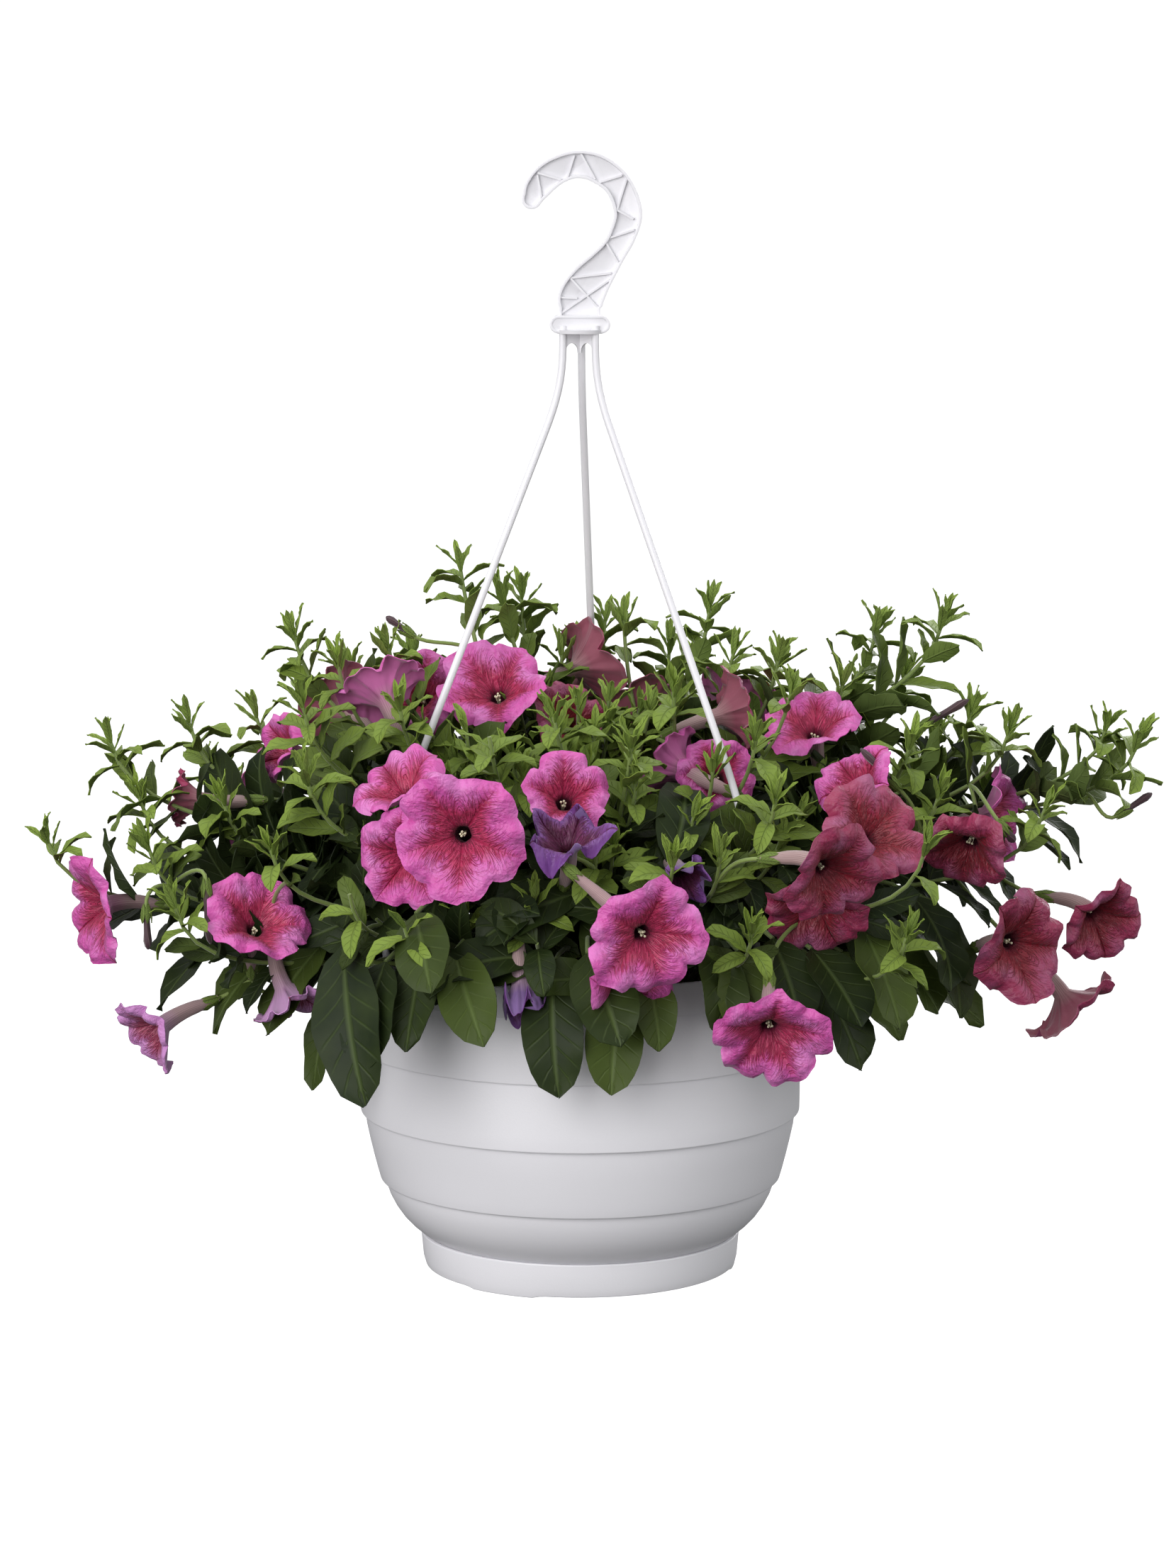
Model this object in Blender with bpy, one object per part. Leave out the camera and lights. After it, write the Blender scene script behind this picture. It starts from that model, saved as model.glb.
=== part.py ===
"""Petunia hanging basket: a white moulded pot on its saucer, a three-armed hanger with an open
hook, potting soil, and a petunia in full flower.

Metres, +Z up, front towards -Y.  The origin is the highest point inside the hook, where a
bracket or a hanging wire carries it.  Sizes below are in millimetres, and heights are measured
up from the saucer's underside, which lies HOOK_HEIGHT below the origin.
"""

import math

import bmesh
import bpy
from mathutils import Matrix, Quaternion, Vector
from mathutils.bvhtree import BVHTree

MM = 0.001
GAP = 0.3                       # clearance left between pieces that touch
HOOK_HEIGHT = 590.0             # inside of the hook above the saucer's underside

# ---- pot ---------------------------------------------------------------------------------
ROUND_SIDES = 24
RIM_RADIUS = 125.0
RIM_TOP = 176.0
RIM_BAND = 17.5                 # height of the raised band round the mouth
WALL = 2.2
STEP_HEIGHTS = (123.4, 87.2, 49.9)      # undercut line below each band
STEP_RADII = (121.9, 119.7, 109.2)      # radius of each band's lower lip
STEP_DEPTHS = (0.8, 2.3, 2.6)           # how far the next band sits in behind the lip
POT_FLOOR = 11.0
POT_FLOOR_RADIUS = 62.0
DRAIN_HOLES = 6
DRAIN_HOLE_RADIUS = 4.5
DRAIN_CIRCLE = 44.0

# ---- saucer --------------------------------------------------------------------------------
SAUCER_TOP = 20.0
SAUCER_TOP_RADIUS = 87.2
SAUCER_FOOT_RADIUS = 84.8
SAUCER_FLOOR = 3.0
SAUCER_WALL = 2.4

# ---- soil ----------------------------------------------------------------------------------
SOIL_TOP = 160.0

# ---- hanger --------------------------------------------------------------------------------
ARM_ANGLES = (85.0, 205.0, 325.0)       # plan angles of the three arms, 0 along +X
ARM_RADIUS = 2.0
ARM_SIDES = 6
ARM_START = 10.0                        # distance of each arm from the axis under the boss
ARM_END = 114.0                         # and where it goes down through the pot's ear
ARM_TOP = -82.0                         # heights here are below the origin
ARM_BEND_TOP = 53.0
ARM_BEND_FOOT = 125.0
EAR_TOP = 174.0
EAR_THICK = 3.0
EAR_WIDTH = 13.0
EAR_REACH = 107.0                       # inner edge of the ear from the axis
HOOK_DEPTH = 6.6                        # along Y
FLANGE = 1.5
WEB_SINK = 2.3                          # how far the web lies in from the flange's edge
BOSS_HALF_WIDTH = 16.2
BOSS_TOP = -72.5
BOSS_HEIGHT = 9.5
BOSS_DEPTH = 11.0
SKIRT_RADII = (12.4, 13.0)              # of the round skirt under the boss, foot and top
SKIRT_HEIGHT = 3.0
BARB = ((0.0, 3.4), (1.6, 3.6), (6.5, 1.2))     # (drop, radius) of an arm's snap-in end
COLLAR_FOOT, COLLAR_TOP = 3.6, 2.2      # radii of the shoulder that rests on the ear
COLLAR_HEIGHT = 3.0
GATE_THICK = 1.8
GATE_TOP = -80.0
GATE_FOOT = -92.5                       # lower edge of the web that joins the three rods

# ---- plant ---------------------------------------------------------------------------------
STEM_RADIUS = 1.6
STEM_SIDES = 4
TUFT = 20.0                             # length of the leaf bunch at a shoot's tip
LEAF_THICKNESS = 1.5
TUBE_LENGTH = 34.0                      # a flower from its calyx to its throat
THROAT_DEPTH = 13.0                     # throat to the plane of the limb's edge
FLOWER_SIDES = 8
CLEARANCE = 0.5                         # kept between pieces of different shoots
GOLDEN_ANGLE = math.radians(137.5)
STEM_TIP = 1.2                          # radius of a stem at its tip
RIM_STALK_TIP = 1.4                     # radius of a rim leaf's stalk where the blade starts
FLOWER_STALK = (1.2, 1.7)               # radius of a flower's stalk at its foot and its calyx
CROWN_FOOT, CROWN_TOP = 5.0, 3.0        # radii of the short stock that a shoot grows from
CROWN_HEIGHT = 5.0
LOWEST_LEAF, HIGHEST_LEAF = 62.0, 26.0  # lengths of the leaves along a shoot
LEAF_WIDTH = 0.44                       # of a leaf's length
LEAF_DROOP = 0.2
STALK_REACH = (0.35, 0.95)              # part of a stem that flower stalks may branch from
STALK_TRIES = 14

LEFT_OUT = []                           # what found no room, printed at the end


# =============================================================================================
# helpers
# =============================================================================================
def clear_scene():
    for item in list(bpy.data.objects):
        bpy.data.objects.remove(item, do_unlink=True)


def at(right, back, height):
    """A point of the plant or the pot, from millimetres to the origin at the hook."""
    return Vector((right, back, height - HOOK_HEIGHT)) * MM


def facing(azimuth, elevation):
    """A direction: azimuth 0 faces the front, 90 the right; elevation is up."""
    a, e = math.radians(azimuth), math.radians(elevation)
    return Vector((math.sin(a) * math.cos(e), -math.cos(a) * math.cos(e), math.sin(e)))


def material(name, colour, roughness):
    made = bpy.data.materials.get(name)
    if made is None:
        made = bpy.data.materials.new(name)
        made.use_nodes = True
        surface = made.node_tree.nodes["Principled BSDF"]
        surface.inputs["Base Color"].default_value = (*colour, 1.0)
        surface.inputs["Roughness"].default_value = roughness
    return made


def white_plastic():
    return material("white plastic", (0.86, 0.86, 0.87), 0.32)


def leaf_green():
    return material("petunia green", (0.10, 0.22, 0.04), 0.55)


def add_object(name, bm, finish, parent=None, smooth=True):
    """Turns a finished bmesh into a named object with its own copy of a finish."""
    bmesh.ops.recalc_face_normals(bm, faces=bm.faces)
    mesh = bpy.data.meshes.new(name)
    bm.to_mesh(mesh)
    bm.free()
    own = finish.copy()
    own.name = name + " finish"
    mesh.materials.append(own)
    if smooth:
        mesh.shade_smooth()
        mesh.set_sharp_from_angle(angle=math.radians(35))
    thing = bpy.data.objects.new(name, mesh)
    bpy.context.scene.collection.objects.link(thing)
    thing.parent = parent
    return thing


def turned(profile, sides):
    """A closed outline of (radius, height) millimetres turned about the vertical axis."""
    bm = bmesh.new()
    corners = [bm.verts.new(at(radius, 0.0, height)) for radius, height in profile]
    edges = [bm.edges.new(pair) for pair in zip(corners, corners[1:])]
    if profile[0][0] > 0.0:
        edges.append(bm.edges.new((corners[-1], corners[0])))
    bmesh.ops.spin(bm, geom=corners + edges, cent=(0, 0, 0), axis=(0, 0, 1),
                   angle=math.tau, steps=sides, use_merge=True)
    bmesh.ops.remove_doubles(bm, verts=bm.verts, dist=0.00001)
    return bm


def frames_along(points):
    """Turns for a section carried along a path without twisting."""
    tangents = []
    for index in range(len(points)):
        before = points[max(index - 1, 0)]
        after = points[min(index + 1, len(points) - 1)]
        tangents.append((after - before).normalized())
    turns = [tangents[0].to_track_quat("Z", "Y")]
    for before, after in zip(tangents, tangents[1:]):
        turns.append(before.rotation_difference(after) @ turns[-1])
    return turns


def sweep(points, radii, sides, turns=None):
    """A closed solid whose round section follows points."""
    turns = turns or frames_along(points)
    bm = bmesh.new()
    ring = bmesh.ops.create_circle(bm, cap_ends=True, segments=sides, radius=1.0)["verts"]
    angles = [math.atan2(corner.co.y, corner.co.x) for corner in ring]

    def shape(corners, index):
        for corner, angle in zip(corners, angles):
            flat = Vector((math.cos(angle), math.sin(angle), 0.0)) * radii[index]
            corner.co = points[index] + turns[index] @ flat

    shape(ring, 0)
    cap = bm.faces[:][0]
    for index in range(1, len(points)):
        made = bmesh.ops.extrude_face_region(bm, geom=[cap])
        new_faces = [item for item in made["geom"] if isinstance(item, bmesh.types.BMFace)]
        old_ring, ring = ring, []
        for corner in old_ring:
            for link in corner.link_edges:
                other = link.other_vert(corner)
                if other in new_faces[0].verts:
                    ring.append(other)
        if index > 1:
            bm.faces.remove(cap)            # the first one stays, as the bottom
        cap = new_faces[0]
        shape(ring, index)
    bmesh.ops.recalc_face_normals(bm, faces=bm.faces)
    return bm


def bezier(start, lift, reach, end, count):
    """count + 1 points along a cubic curve."""
    points = []
    for index in range(count + 1):
        t = index / count
        points.append(start * (1 - t) ** 3 + lift * 3 * t * (1 - t) ** 2
                      + reach * 3 * t * t * (1 - t) + end * t ** 3)
    return points


def tree_of(bm):
    return BVHTree.FromBMesh(bm)


def evaluated(thing):
    """A bmesh of an object as it stands in the world, with its modifiers."""
    graph = bpy.context.evaluated_depsgraph_get()
    bm = bmesh.new()
    bm.from_object(thing, graph)
    bm.transform(thing.matrix_world)
    return bm


def whole(bm):
    """True for one closed body."""
    if not bm.faces or not all(edge.is_manifold for edge in bm.edges):
        return False
    bm.verts.ensure_lookup_table()
    reached, waiting = {bm.verts[0]}, [bm.verts[0]]
    while waiting:
        for edge in waiting.pop().link_edges:
            for corner in edge.verts:
                if corner not in reached:
                    reached.add(corner)
                    waiting.append(corner)
    return len(reached) == len(bm.verts)


def cleaned(bm):
    """Takes out the crumbs that a cut leaves: loose edges and loose points."""
    loose = [edge for edge in bm.edges if not edge.link_faces]
    bmesh.ops.delete(bm, geom=loose, context="EDGES")
    single = [corner for corner in bm.verts if not corner.link_faces]
    bmesh.ops.delete(bm, geom=single, context="VERTS")
    return bm


# ways to join two solids: the solver and a hair's shift, tried in turn where edges coincide
WAYS = (("EXACT", (0, 0, 0)), ("EXACT", (0.04, 0.03, 0.05)), ("EXACT", (-0.05, 0.06, -0.03)),
        ("MANIFOLD", (0, 0, 0)), ("MANIFOLD", (0.04, 0.03, 0.05)),
        ("MANIFOLD", (-0.1, -0.08, -0.09)))


def combined(body, piece, operation="UNION"):
    """The union or difference of two solids, by the first way that gives one closed body."""
    for solver, nudge in WAYS:
        guest_bm = piece.copy()
        bmesh.ops.translate(guest_bm, vec=Vector(nudge) * MM, verts=guest_bm.verts)
        host = add_object("host", body.copy(), white_plastic())
        guest = add_object("guest", guest_bm, white_plastic())
        step = host.modifiers.new("step", "BOOLEAN")
        step.operation = operation
        step.solver = solver
        step.object = guest
        result = cleaned(evaluated(host))
        for thing in (host, guest):
            mesh = thing.data
            bpy.data.objects.remove(thing, do_unlink=True)
            bpy.data.meshes.remove(mesh)
        if whole(result):
            return result
        result.free()
    return None


def joined(name, first, others, finish, parent, cutters=()):
    """One solid from overlapping solids, joined one after another and then drilled."""
    body = first
    steps = [(piece, "UNION") for piece in others] + [(piece, "DIFFERENCE") for piece in cutters]
    for index, (piece, operation) in enumerate(steps):
        result = combined(body, piece, operation)
        piece.free()
        if result is None:
            LEFT_OUT.append(f"{name}: piece {index} did not join")
            continue
        body.free()
        body = result
    return add_object(name, body, finish, parent)


class Surroundings:
    """The surfaces already in place, so that a new leaf or stem can keep clear of them."""

    def __init__(self):
        self.trees = {}

    def add(self, name, tree):
        self.trees.setdefault(name, []).append(tree)

    def blocked_by(self, tree, ignore=()):
        for name, placed in self.trees.items():
            if name not in ignore and any(tree.overlap(other) for other in placed):
                return name
        return ""

    def clear(self, tree, ignore=()):
        return not self.blocked_by(tree, ignore)


# =============================================================================================
# pot, saucer, soil
# =============================================================================================
def pot_outside():
    """The bowl's outer outline from the floor up, as (radius, height)."""
    outline = [(POT_FLOOR_RADIUS, POT_FLOOR), (74.0, 13.5), (84.0, 18.8), (88.5, 21.6),
               (96.6, 29.5), (102.0, 37.4), (STEP_RADII[2] - STEP_DEPTHS[2], STEP_HEIGHTS[2])]
    outline += [(STEP_RADII[2], STEP_HEIGHTS[2] + 0.8), (112.4, 62.0), (115.6, 77.6),
                (STEP_RADII[1] - STEP_DEPTHS[1], STEP_HEIGHTS[1])]
    outline += [(STEP_RADII[1], STEP_HEIGHTS[1] + 0.8), (120.5, 97.4),
                (STEP_RADII[0] - STEP_DEPTHS[0], STEP_HEIGHTS[0])]
    outline += [(STEP_RADII[0], STEP_HEIGHTS[0] + 0.8), (122.2, RIM_TOP - RIM_BAND - 0.5)]
    outline += [(RIM_RADIUS - 0.6, RIM_TOP - RIM_BAND), (RIM_RADIUS, RIM_TOP - RIM_BAND + 1.5),
                (RIM_RADIUS, RIM_TOP - 1.6), (RIM_RADIUS - 1.4, RIM_TOP)]
    return outline


def pot_inside():
    """The bowl's inner outline from the rim down."""
    return [(RIM_RADIUS - 4.0, RIM_TOP), (RIM_RADIUS - 5.4, RIM_TOP - 1.6), (118.6, 124.0),
            (117.2, 89.0), (112.8, 77.6), (107.0, 51.6), (100.0, 37.4), (86.0, 22.6),
            (72.0, 16.0), (POT_FLOOR_RADIUS, POT_FLOOR + WALL)]


def drill(right, back, height, radius, length):
    bm = bmesh.new()
    bmesh.ops.create_cone(bm, cap_ends=True, segments=8, radius1=radius * MM,
                          radius2=radius * MM, depth=length * MM)
    bmesh.ops.translate(bm, vec=at(right, back, height), verts=bm.verts)
    return bm


def ear_block(angle):
    """A small ledge inside the rim that takes the end of one arm."""
    bm = bmesh.new()
    bmesh.ops.create_cube(bm, size=1.0)
    outer = RIM_RADIUS - 3.4
    length = outer - EAR_REACH
    bmesh.ops.scale(bm, vec=(length * MM, EAR_WIDTH * MM, EAR_THICK * MM), verts=bm.verts)
    middle = at((outer + EAR_REACH) / 2, 0.0, EAR_TOP - EAR_THICK / 2)
    bmesh.ops.translate(bm, vec=middle, verts=bm.verts)
    bmesh.ops.rotate(bm, cent=(0, 0, 0), verts=bm.verts,
                     matrix=Matrix.Rotation(math.radians(angle), 3, "Z"))
    return bm


def make_pot(parent):
    outline = [(0.0, POT_FLOOR)] + pot_outside() + pot_inside() + [(0.0, POT_FLOOR + WALL)]
    ears = [ear_block(angle) for angle in ARM_ANGLES]
    holes = []
    for number in range(DRAIN_HOLES):
        angle = math.tau * (number + 0.5) / DRAIN_HOLES
        holes.append(drill(DRAIN_CIRCLE * math.cos(angle), DRAIN_CIRCLE * math.sin(angle),
                           POT_FLOOR, DRAIN_HOLE_RADIUS, 12.0))
    for angle in ARM_ANGLES:
        turn = math.radians(angle)
        holes.append(drill(ARM_END * math.cos(turn), ARM_END * math.sin(turn),
                           EAR_TOP - EAR_THICK / 2, ARM_RADIUS + GAP + 0.1, 8.0))
    return joined("pot", turned(outline, ROUND_SIDES), ears, white_plastic(), parent, holes)


def make_saucer(parent):
    """An upright ring wall round a shallow tray; the bowl's underside sits in it."""
    outline = [(0.0, 0.0), (SAUCER_FOOT_RADIUS, 0.0), (SAUCER_FOOT_RADIUS + 1.3, 1.5),
               (SAUCER_TOP_RADIUS, SAUCER_TOP - 0.8), (SAUCER_TOP_RADIUS - 0.6, SAUCER_TOP - 0.2),
               (SAUCER_TOP_RADIUS - SAUCER_WALL, SAUCER_TOP - 1.4),
               (SAUCER_FOOT_RADIUS - SAUCER_WALL, SAUCER_FLOOR + 1.0),
               (70.0, SAUCER_FLOOR), (61.0, SAUCER_FLOOR), (59.0, POT_FLOOR - GAP),
               (55.0, POT_FLOOR - GAP), (53.0, SAUCER_FLOOR), (0.0, SAUCER_FLOOR)]
    return add_object("saucer", turned(outline, ROUND_SIDES), white_plastic(), parent)


def make_soil(parent):
    """The potting mix fills the bowl to a little under the ears."""
    inner = [(radius - GAP * 1.6, height + GAP * 1.6) for radius, height in pot_inside()
             if height < SOIL_TOP]
    outline = [(0.0, SOIL_TOP), (inner[0][0] + 0.2, SOIL_TOP)] + inner
    outline += [(0.0, inner[-1][1])]
    finish = material("potting soil", (0.035, 0.022, 0.015), 0.95)
    return add_object("soil", turned(outline, ROUND_SIDES), finish, parent, smooth=False)


# =============================================================================================
# hanger
# =============================================================================================
# middle line of the hook from its tip, over the crown and down the neck to the boss:
# (right, up from the crown, half width), the hook lying in the XZ plane
HOOK_LINE = ((-25.7, -11.0, 5.4), (-23.0, -5.8, 6.9), (-17.9, 0.1, 7.5), (-11.0, 4.6, 7.3),
             (-1.4, 7.2, 7.2), (9.6, 4.9, 7.5), (20.3, -3.6, 7.3), (25.7, -18.0, 7.5),
             (22.4, -30.5, 7.2), (18.1, -38.1, 7.1), (11.9, -46.4, 8.8), (5.2, -55.0, 11.0),
             (0.4, -63.6, 12.2), (-0.2, -69.0, 11.0), (0.0, -73.5, 11.6))
HOOK_STATIONS = 18


def through(stations, count):
    """count + 1 rows read from a smooth curve through the given rows."""
    rows = []
    last = len(stations) - 1
    for index in range(count + 1):
        place = index / count * last
        cell = min(int(place), last - 1)
        t = place - cell
        a = stations[max(cell - 1, 0)]
        b, c = stations[cell], stations[cell + 1]
        d = stations[min(cell + 2, last)]
        rows.append(tuple(
            0.5 * (2 * q + (r - p) * t + (2 * p - 5 * q + 4 * r - s) * t * t
                   + (3 * q - p - 3 * r + s) * t ** 3) for p, q, r, s in zip(a, b, c, d)))
    return rows


def hook_outline():
    """The hook's edge as (right, up) points: out along one side, round the tip and back."""
    line = through(HOOK_LINE, HOOK_STATIONS)
    left, right = [], []
    for index, (x, z, half) in enumerate(line):
        ahead = line[min(index + 1, HOOK_STATIONS)]
        behind = line[max(index - 1, 0)]
        along = Vector((ahead[0] - behind[0], ahead[1] - behind[1])).normalized()
        side = Vector((-along.y, along.x)) * half
        left.append(Vector((x, z)) + side)
        right.append(Vector((x, z)) - side)
    x, z, half = line[0]
    away = Vector((x - line[1][0], z - line[1][1])).normalized()
    across = (left[0] - Vector((x, z))).normalized()
    tip = [Vector((x, z)) + half * (math.cos(math.radians(turn)) * -across
                                    + math.sin(math.radians(turn)) * away)
           for turn in (36, 72, 108, 144)]
    return list(reversed(right)) + tip + left


def hook_body():
    """The flanged plate: an outline raised to full depth with a thin web sunk in both faces."""
    bm = bmesh.new()
    front = -HOOK_DEPTH / 2
    corners = [bm.verts.new(Vector((p.x, front, p.y)) * MM) for p in hook_outline()]
    face = bm.faces.new(corners)
    raised = bmesh.ops.extrude_face_region(bm, geom=[face])
    back = [item for item in raised["geom"] if isinstance(item, bmesh.types.BMVert)]
    bmesh.ops.translate(bm, vec=(0, HOOK_DEPTH * MM, 0), verts=back)
    if not any(len(f.verts) > 8 and f.calc_center_median().y < 0 for f in bm.faces):
        bm.faces.new(corners)
    bmesh.ops.recalc_face_normals(bm, faces=bm.faces)
    plates = [f for f in bm.faces if len(f.verts) > 8]
    for plate in plates:
        bmesh.ops.inset_region(bm, faces=[plate], thickness=FLANGE * MM, depth=0.0,
                               use_even_offset=True)
        inward = WEB_SINK * MM * (1 if plate.calc_center_median().y < 0 else -1)
        bmesh.ops.inset_region(bm, faces=[plate], thickness=0.05 * MM, depth=0.0)
        bmesh.ops.translate(bm, vec=(0, inward, 0), verts=plate.verts)
    return bm


# diagonal stiffening ribs between the hook's two edges: start and end as (right, up)
HOOK_RIBS = (((-22.6, 1.5), (-20.5, -10.0)), ((-22.5, 2.8), (-10.0, -0.9)),
             ((-3.0, 11.9), (-6.6, 0.6)), ((0.5, 13.0), (8.0, -0.6)),
             ((9.8, -2.4), (22.4, 1.4)), ((24.6, -1.0), (19.6, -17.0)),
             ((19.6, -16.8), (28.6, -21.6)), ((14.9, -31.8), (29.0, -27.2)),
             ((13.8, -34.0), (20.9, -45.6)), ((-5.4, -52.7), (16.6, -50.2)),
             ((-5.2, -52.7), (10.0, -69.0)), ((-10.2, -71.4), (16.0, -53.6)),
             ((-11.0, -63.0), (-1.4, -63.4)), ((-9.0, -70.9), (9.0, -70.9)))
RIB_THICK = 1.1
RIB_DEPTH = 5.4


def rib(start, end):
    bm = bmesh.new()
    bmesh.ops.create_cube(bm, size=1.0)
    run = Vector((end[0] - start[0], end[1] - start[1]))
    bmesh.ops.scale(bm, vec=(run.length * MM, RIB_DEPTH * MM, RIB_THICK * MM), verts=bm.verts)
    bmesh.ops.rotate(bm, cent=(0, 0, 0), verts=bm.verts,
                     matrix=Matrix.Rotation(-math.atan2(run.y, run.x), 3, "Y"))
    middle = Vector(((start[0] + end[0]) / 2, 0.0, (start[1] + end[1]) / 2)) * MM
    bmesh.ops.translate(bm, vec=middle, verts=bm.verts)
    return bm


def boss():
    """A pill lying across the foot of the neck, with a shallow panel in its front and back."""
    bm = bmesh.new()
    half = BOSS_HEIGHT / 2
    flat = BOSS_HALF_WIDTH - half
    corners = []
    for side in (1, -1):
        for step in range(5):
            turn = math.radians(-90 + 45 * step) if side == 1 else math.radians(90 + 45 * step)
            corners.append(bm.verts.new(Vector((side * flat + half * math.cos(turn),
                                                -BOSS_DEPTH / 2, half * math.sin(turn))) * MM))
    face = bm.faces.new(corners)
    raised = bmesh.ops.extrude_face_region(bm, geom=[face])
    back = [item for item in raised["geom"] if isinstance(item, bmesh.types.BMVert)]
    bmesh.ops.translate(bm, vec=(0, BOSS_DEPTH * MM, 0), verts=back)
    if not any(len(f.verts) > 8 and f.calc_center_median().y < 0 for f in bm.faces):
        bm.faces.new(corners)
    bmesh.ops.recalc_face_normals(bm, faces=bm.faces)
    for plate in [f for f in bm.faces if len(f.verts) > 8]:
        inward = 1.0 * MM * (1 if plate.calc_center_median().y < 0 else -1)
        bmesh.ops.inset_region(bm, faces=[plate], thickness=1.6 * MM, depth=0.0)
        bmesh.ops.translate(bm, vec=(0, inward, 0), verts=plate.verts)
    bmesh.ops.translate(bm, vec=(0, 0, (BOSS_TOP - half) * MM), verts=bm.verts)
    return bm


def arm_reach(drop):
    """Distance of an arm from the axis, at a drop below its start: out, straight, then down."""
    length = HOOK_HEIGHT + ARM_TOP - RIM_TOP
    steps = 120
    slopes = []
    for step in range(steps + 1):
        depth = length * step / steps
        start = min(depth / ARM_BEND_TOP, 1.0)
        end = min((length - depth) / ARM_BEND_FOOT, 1.0)
        slopes.append(start * start * (3 - 2 * start) * end * end * (3 - 2 * end))
    total = sum(slopes)
    wanted = min(drop / length, 1.0) * steps
    done = int(wanted)
    reached = sum(slopes[:done]) + slopes[min(done, steps)] * (wanted - done)
    return ARM_START + (ARM_END - ARM_START) * reached / total


def arm_path(angle):
    turn = math.radians(angle)
    foot = HOOK_HEIGHT - EAR_TOP + EAR_THICK + 0.6 + ARM_TOP       # drop to just under the ear
    drops = [-4.0, 10.0, 22.0, 34.0, 48.0, 70.0, 120.0, 180.0, 215.0, 240.0, 262.0, 284.0,
             306.0, 325.0, foot]
    return [Vector((arm_reach(max(drop, 0.0)) * math.cos(turn),
                    arm_reach(max(drop, 0.0)) * math.sin(turn), ARM_TOP - drop)) * MM
            for drop in drops]


def arm(angle):
    """One arm: a round rod that ends in a barb snapped down through the pot's ear."""
    points = arm_path(angle)
    foot = points[-1]
    radii = [ARM_RADIUS] * len(points)
    for drop, radius in BARB:
        points.append(foot - Vector((0, 0, drop * MM + 0.0002)))
        radii.append(radius)
    return sweep(points, [radius * MM for radius in radii], ARM_SIDES)


def collar(angle):
    """A small shoulder on the arm that rests on the ear."""
    turn = math.radians(angle)
    bm = bmesh.new()
    bmesh.ops.create_cone(bm, cap_ends=True, segments=8, radius1=COLLAR_FOOT * MM,
                          radius2=COLLAR_TOP * MM, depth=COLLAR_HEIGHT * MM)
    place = at(ARM_END * math.cos(turn), ARM_END * math.sin(turn),
               EAR_TOP + GAP + COLLAR_HEIGHT / 2)
    bmesh.ops.translate(bm, vec=place, verts=bm.verts)
    return bm


def gate_web(angle):
    """The thin web under the boss from the middle to one rod, its lower edge an arch."""
    bm = bmesh.new()
    arch = ((ARM_START, GATE_FOOT), (ARM_START * 0.8, GATE_FOOT + 2.5),
            (ARM_START * 0.45, GATE_FOOT + 5.1), (0.0, GATE_FOOT + 5.9))
    corners = [(0.0, GATE_TOP), (ARM_START, GATE_TOP)] + list(arch)
    front = -GATE_THICK / 2
    face = bm.faces.new([bm.verts.new(Vector((x, front, z)) * MM) for x, z in corners])
    raised = bmesh.ops.extrude_face_region(bm, geom=[face])
    back = [item for item in raised["geom"] if isinstance(item, bmesh.types.BMVert)]
    bmesh.ops.translate(bm, vec=(0, GATE_THICK * MM, 0), verts=back)
    if len(bm.faces) < len(corners) + 2:
        bm.faces.new([v for v in bm.verts if v not in back])
    bmesh.ops.rotate(bm, cent=(0, 0, 0), verts=bm.verts,
                     matrix=Matrix.Rotation(math.radians(angle), 3, "Z"))
    bmesh.ops.recalc_face_normals(bm, faces=bm.faces)
    return bm


def make_hanger(parent):
    base = bmesh.new()
    bmesh.ops.create_cone(base, cap_ends=True, segments=12, radius1=SKIRT_RADII[0] * MM,
                          radius2=SKIRT_RADII[1] * MM, depth=SKIRT_HEIGHT * MM)
    bmesh.ops.translate(base, vec=(0, 0, (BOSS_TOP - BOSS_HEIGHT + 1.2) * MM), verts=base.verts)
    pieces = [rib(*ends) for ends in HOOK_RIBS] + [boss(), base]
    for angle in ARM_ANGLES:
        pieces += [arm(angle), collar(angle), gate_web(angle)]
    return joined("hanger", hook_body(), pieces, white_plastic(), parent)


# =============================================================================================
# flowers
# =============================================================================================
PINK = ("petunia pink", (0.62, 0.10, 0.33), 0.55)
RED_PINK = ("petunia red pink", (0.45, 0.03, 0.12), 0.55)
LILAC = ("petunia lilac", (0.55, 0.25, 0.55), 0.6)
PURPLE = ("wilted purple", (0.16, 0.06, 0.25), 0.7)

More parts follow.
